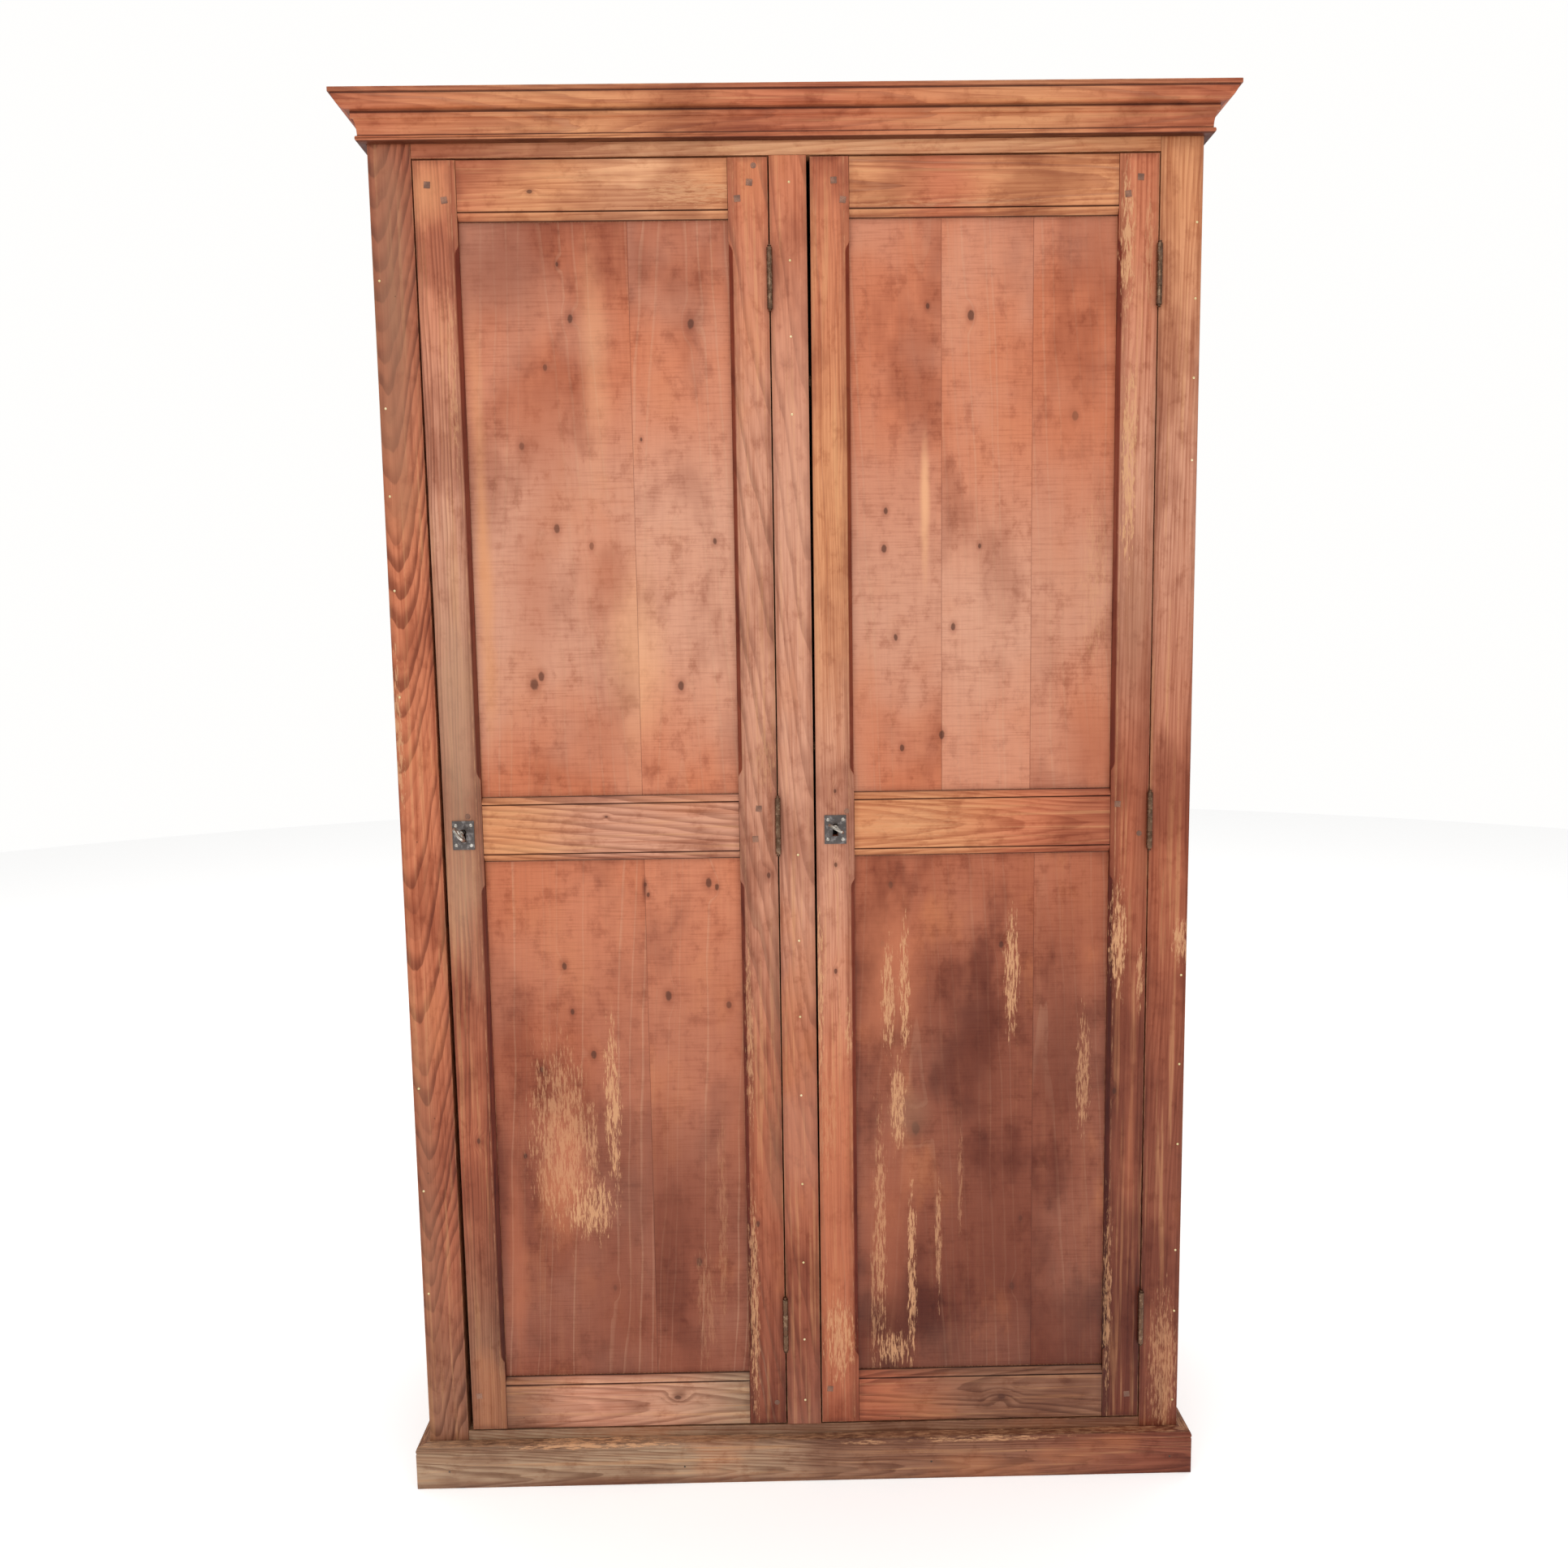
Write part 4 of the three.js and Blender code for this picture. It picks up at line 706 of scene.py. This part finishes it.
def slotted_screw(work, place, radius, facing, turn):
    """A countersunk head with its slot: a disc split in three, its middle strip sunk."""
    stand = Matrix.Translation(place) @ facing @ Matrix.Rotation(turn, 4, "Z")
    made = bmesh.ops.create_cone(work, cap_ends=True, segments=20, radius1=radius, radius2=radius * 0.9,
        depth=0.0008, matrix=stand)
    parts = set(made["verts"])
    for side in (0.13, -0.13):
        cut = stand @ Matrix.Translation((0, side * 2 * radius, 0))
        faces = {face for vert in parts for face in vert.link_faces}
        edges = {edge for vert in parts for edge in vert.link_edges}
        new = bmesh.ops.bisect_plane(work, geom=list(parts) + list(edges) + list(faces), dist=1e-7,
                                     plane_co=cut.translation, plane_no=(stand.to_3x3() @ Vector((0, 1, 0))))
        parts |= {item for item in new["geom_cut"] if isinstance(item, bmesh.types.BMVert)}
    out = stand.to_3x3() @ Vector((0, 0, 1))
    top = [face for face in {f for v in parts for f in v.link_faces} if face.normal.dot(out) > 0.99
           and abs((stand.inverted() @ face.calc_center_median()).y) < 0.1 * radius]
    sunk = bmesh.ops.extrude_face_region(work, geom=top)
    bmesh.ops.translate(work, verts=[v for v in sunk["geom"] if isinstance(v, bmesh.types.BMVert)],
        vec=out * -0.00055)
    bmesh.ops.delete(work, geom=top, context="FACES_ONLY")


def smooth_metal(node, arris):
    """A copy of the plain part with its triangles joined and every hard corner eased."""
    work = bmesh.new()
    work.from_mesh(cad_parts[node].data)
    bmesh.ops.remove_doubles(work, verts=work.verts, dist=0.00002)
    bmesh.ops.dissolve_limit(work, angle_limit=0.02, verts=work.verts, edges=work.edges)
    hard = [edge for edge in work.edges
            if edge.is_manifold and edge.calc_face_angle() > 0.9 and edge.calc_length() > 0.0004]
    round_over(work, hard, arris)
    return work


def shade_round(piece, limit=0.6):
    """Barrels and bows look round, and their hard edges stay hard."""
    piece.data.polygons.foreach_set("use_smooth", [True] * len(piece.data.polygons))
    piece.data.set_sharp_from_angle(angle=limit)


hinge_iron = worn_metal("hinge, browned iron", "#694e3c", "#8a705a", "#5c4030", 0.26, shine=0.9,
    hammer=0.00003)
for side, axis_x in (("left", -0.029), ("right", 0.560)):
    for level in ("top", "mid", "bottom"):
        for leaf, body in (("frame_leaf", "root"), ("door_leaf", f"{side}_door")):
            node = f"{side}_hinge_{level}_{leaf}"
            low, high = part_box(node)
            work = smooth_metal(node, 0.00035)
            plate = [v.co.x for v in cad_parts[node].data.vertices if v.co.y > metal_face + 0.008]
            inner = min(plate) if leaf == "frame_leaf" else max(plate)
            facing = Matrix.Rotation(-math.pi / 2 if leaf == "frame_leaf" else math.pi / 2, 4, "Y")
            middle = (low.z + high.z) / 2
            for i, rise in enumerate((-0.033, 0.004, 0.035) if leaf == "frame_leaf" else (-0.027, -0.006,
                        0.029)):
                slotted_screw(work, (inner + (0.0003 if leaf == "frame_leaf" else -0.0003),
                        metal_face + 0.009, middle + rise), 0.0031, facing, 0.5 + 1.1 * i)
            if leaf == "frame_leaf":
                for tip in (low.z, high.z):
                    dome = Matrix.Translation((axis_x, metal_face - 0.0048, tip)) @ Matrix.Diagonal((1, 1,
                            0.35, 1))
                    bmesh.ops.create_uvsphere(work, u_segments=16, v_segments=8, radius=0.0032, matrix=dome)
            shade_round(set_in_place(work, node, body, "iron", hinge_iron, node))

# ---------------------------------------------------------------- locks
# A forged rim lock screwed to the back of each lock stile: a sheet-iron case, black with old grease, four
# screws, and a bolt with a worn bright end that slides out behind the frame.
lock_iron = worn_metal("lock case, sheet iron", "#3a3633", "#6e665e", "#523727", 0.5, shine=0.8)
for side in ("left", "right"):
    node = f"{side}_lock_case"
    low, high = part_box(node)
    work = smooth_metal(node, 0.0005)
    for x in (low.x + 0.006, high.x - 0.006):
        for z in (low.z + 0.006, high.z - 0.006):
            slotted_screw(work, (x, high.y + 0.0003, z), 0.0036, Matrix.Rotation(-math.pi / 2, 4, "X"),
                20 * x + 9 * z)
    shade_round(set_in_place(work, node, f"{side}_door", "iron", lock_iron, node))
    bolt = smooth_metal(f"{side}_bolt", 0.0007)
    shade_round(set_in_place(bolt, f"{side}_bolt", f"{side}_bolt", "iron",
                             worn_metal(f"{side} bolt, filed iron", "#5b554e", "#9a9288", "#5c4130", 0.36),
                             f"{side}_bolt"))

# ---------------------------------------------------------------- escutcheons
# A small oblong plate of hammered iron round each keyhole, 34.5 by 46 mm, fixed by a domed nail in each
# corner. The hollows are black and the nail heads are polished by passing hands.
plate_iron = worn_metal("escutcheon, hammered iron", "#5f5957", "#8a8482", "#5e5450", 0.42, hammer=0.0004)
plate_nail = worn_metal("escutcheon nail, polished iron", "#b0aba2", "#e6e2da", "#a39788", 0.3, hammer=0.0001)
for side in ("left", "right"):
    node = f"{side}_escutcheon"
    low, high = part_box(node)
    shade_round(set_in_place(smooth_metal(node, 0.0004), node, f"{side}_door", "iron", plate_iron, node))
    middle_x, middle_z = (low.x + high.x) / 2, (low.z + high.z) / 2
    work = bmesh.new()
    nail_heads(work, [(middle_x + x, low.y, middle_z + z) for x, z in
                      ((-0.0117, 0.0157), (0.0121, 0.0160), (-0.0119, -0.0155), (0.0118, -0.0159))], 0.0029,
                      0.0016)
    shade_round(set_in_place(work, f"{side}_escutcheon_nails", f"{side}_door", "iron", plate_nail))

# ---------------------------------------------------------------- keys
# Old forged keys with an oval bow, a collar and a plain bit. The iron is painted pale grey with near-white
# patches: a painted highlight, standing in for the bright rim of the bow.
key_iron = worn_metal("key, rubbed iron", "#a8a197", "#efe9de", "#7a6a5a", 0.24, hammer=0.00005)
for side in ("left", "right"):
    shade_round(set_in_place(smooth_metal(f"{side}_key", 0.0006), f"{side}_key", f"{side}_key", "key_iron",
            key_iron, f"{side}_key"), 0.9)

# ---------------------------------------------------------------- room
# A plain pale floor and a white room, lit by a broad soft window behind the viewer and a soft ceiling.
work = bmesh.new()
bmesh.ops.create_circle(work, cap_ends=True, segments=96, radius=9.0)
mesh = bpy.data.meshes.new("floor")
work.to_mesh(mesh)
work.free()
floor = bpy.data.objects.new("floor", mesh)
bpy.context.scene.collection.objects.link(floor)
paper, sheet = new_finish("white paper sweep")
paper_white = add(sheet, "BsdfPrincipled", {"Base Color": paint("#fafafa"), "Roughness": 0.9,
                                            "Emission Color": (1.0, 1.0, 1.0, 1.0), "Emission Strength": 0.3})
add(sheet, "OutputMaterial", {"Surface": paper_white})
mesh.materials.append(paper)

world = bpy.data.worlds.new("white room")
bpy.context.scene.world = world
world.use_nodes = True
sky = world.node_tree
sky.nodes.clear()
seen = add(sky, "LightPath", out="Is Camera Ray")
strength = add(sky, "MapRange", {"Value": seen, "To Min": 0.64, "To Max": 1.0})
light = add(sky, "Background", {"Color": (1.0, 0.995, 0.985, 1.0), "Strength": strength})
add(sky, "OutputWorld", {"Surface": light})

for name, place, aim, size, power in (
    ("window", (-0.6, -3.8, 2.9), (0.0, 0.0, 1.6), (3.2, 1.6), 25.0),
    ("ceiling", (0.0, 0.0, 5.0), (0.0, 0.0, 0.0), (6.4, 6.4), 150.0),
):
    lamp = bpy.data.lights.new(name, "AREA")
    lamp.shape, lamp.size, lamp.size_y, lamp.energy = "RECTANGLE", size[0], size[1], power
    lamp.color = (1.0, 0.99, 0.975)
    holder = bpy.data.objects.new(name, lamp)
    holder.location = place
    holder.rotation_euler = (Vector(aim) - Vector(place)).to_track_quat("-Z", "Y").to_euler()
    bpy.context.scene.collection.objects.link(holder)

camera = bpy.data.cameras.new("camera")
camera.lens, camera.sensor_width = 27.02, 36.0
viewer = bpy.data.objects.new("camera", camera)
viewer.matrix_world = (Matrix.Translation((-0.03755, -2.06615, 1.35986)) @ Matrix.Rotation(-0.0103, 4, "Z")
                       @ Matrix.Rotation(math.pi / 2 - 0.1048, 4, "X") @ Matrix.Rotation(-0.0147, 4, "Z"))
bpy.context.scene.collection.objects.link(viewer)
bpy.context.scene.camera = viewer
bpy.context.scene.view_settings.view_transform = "Standard"
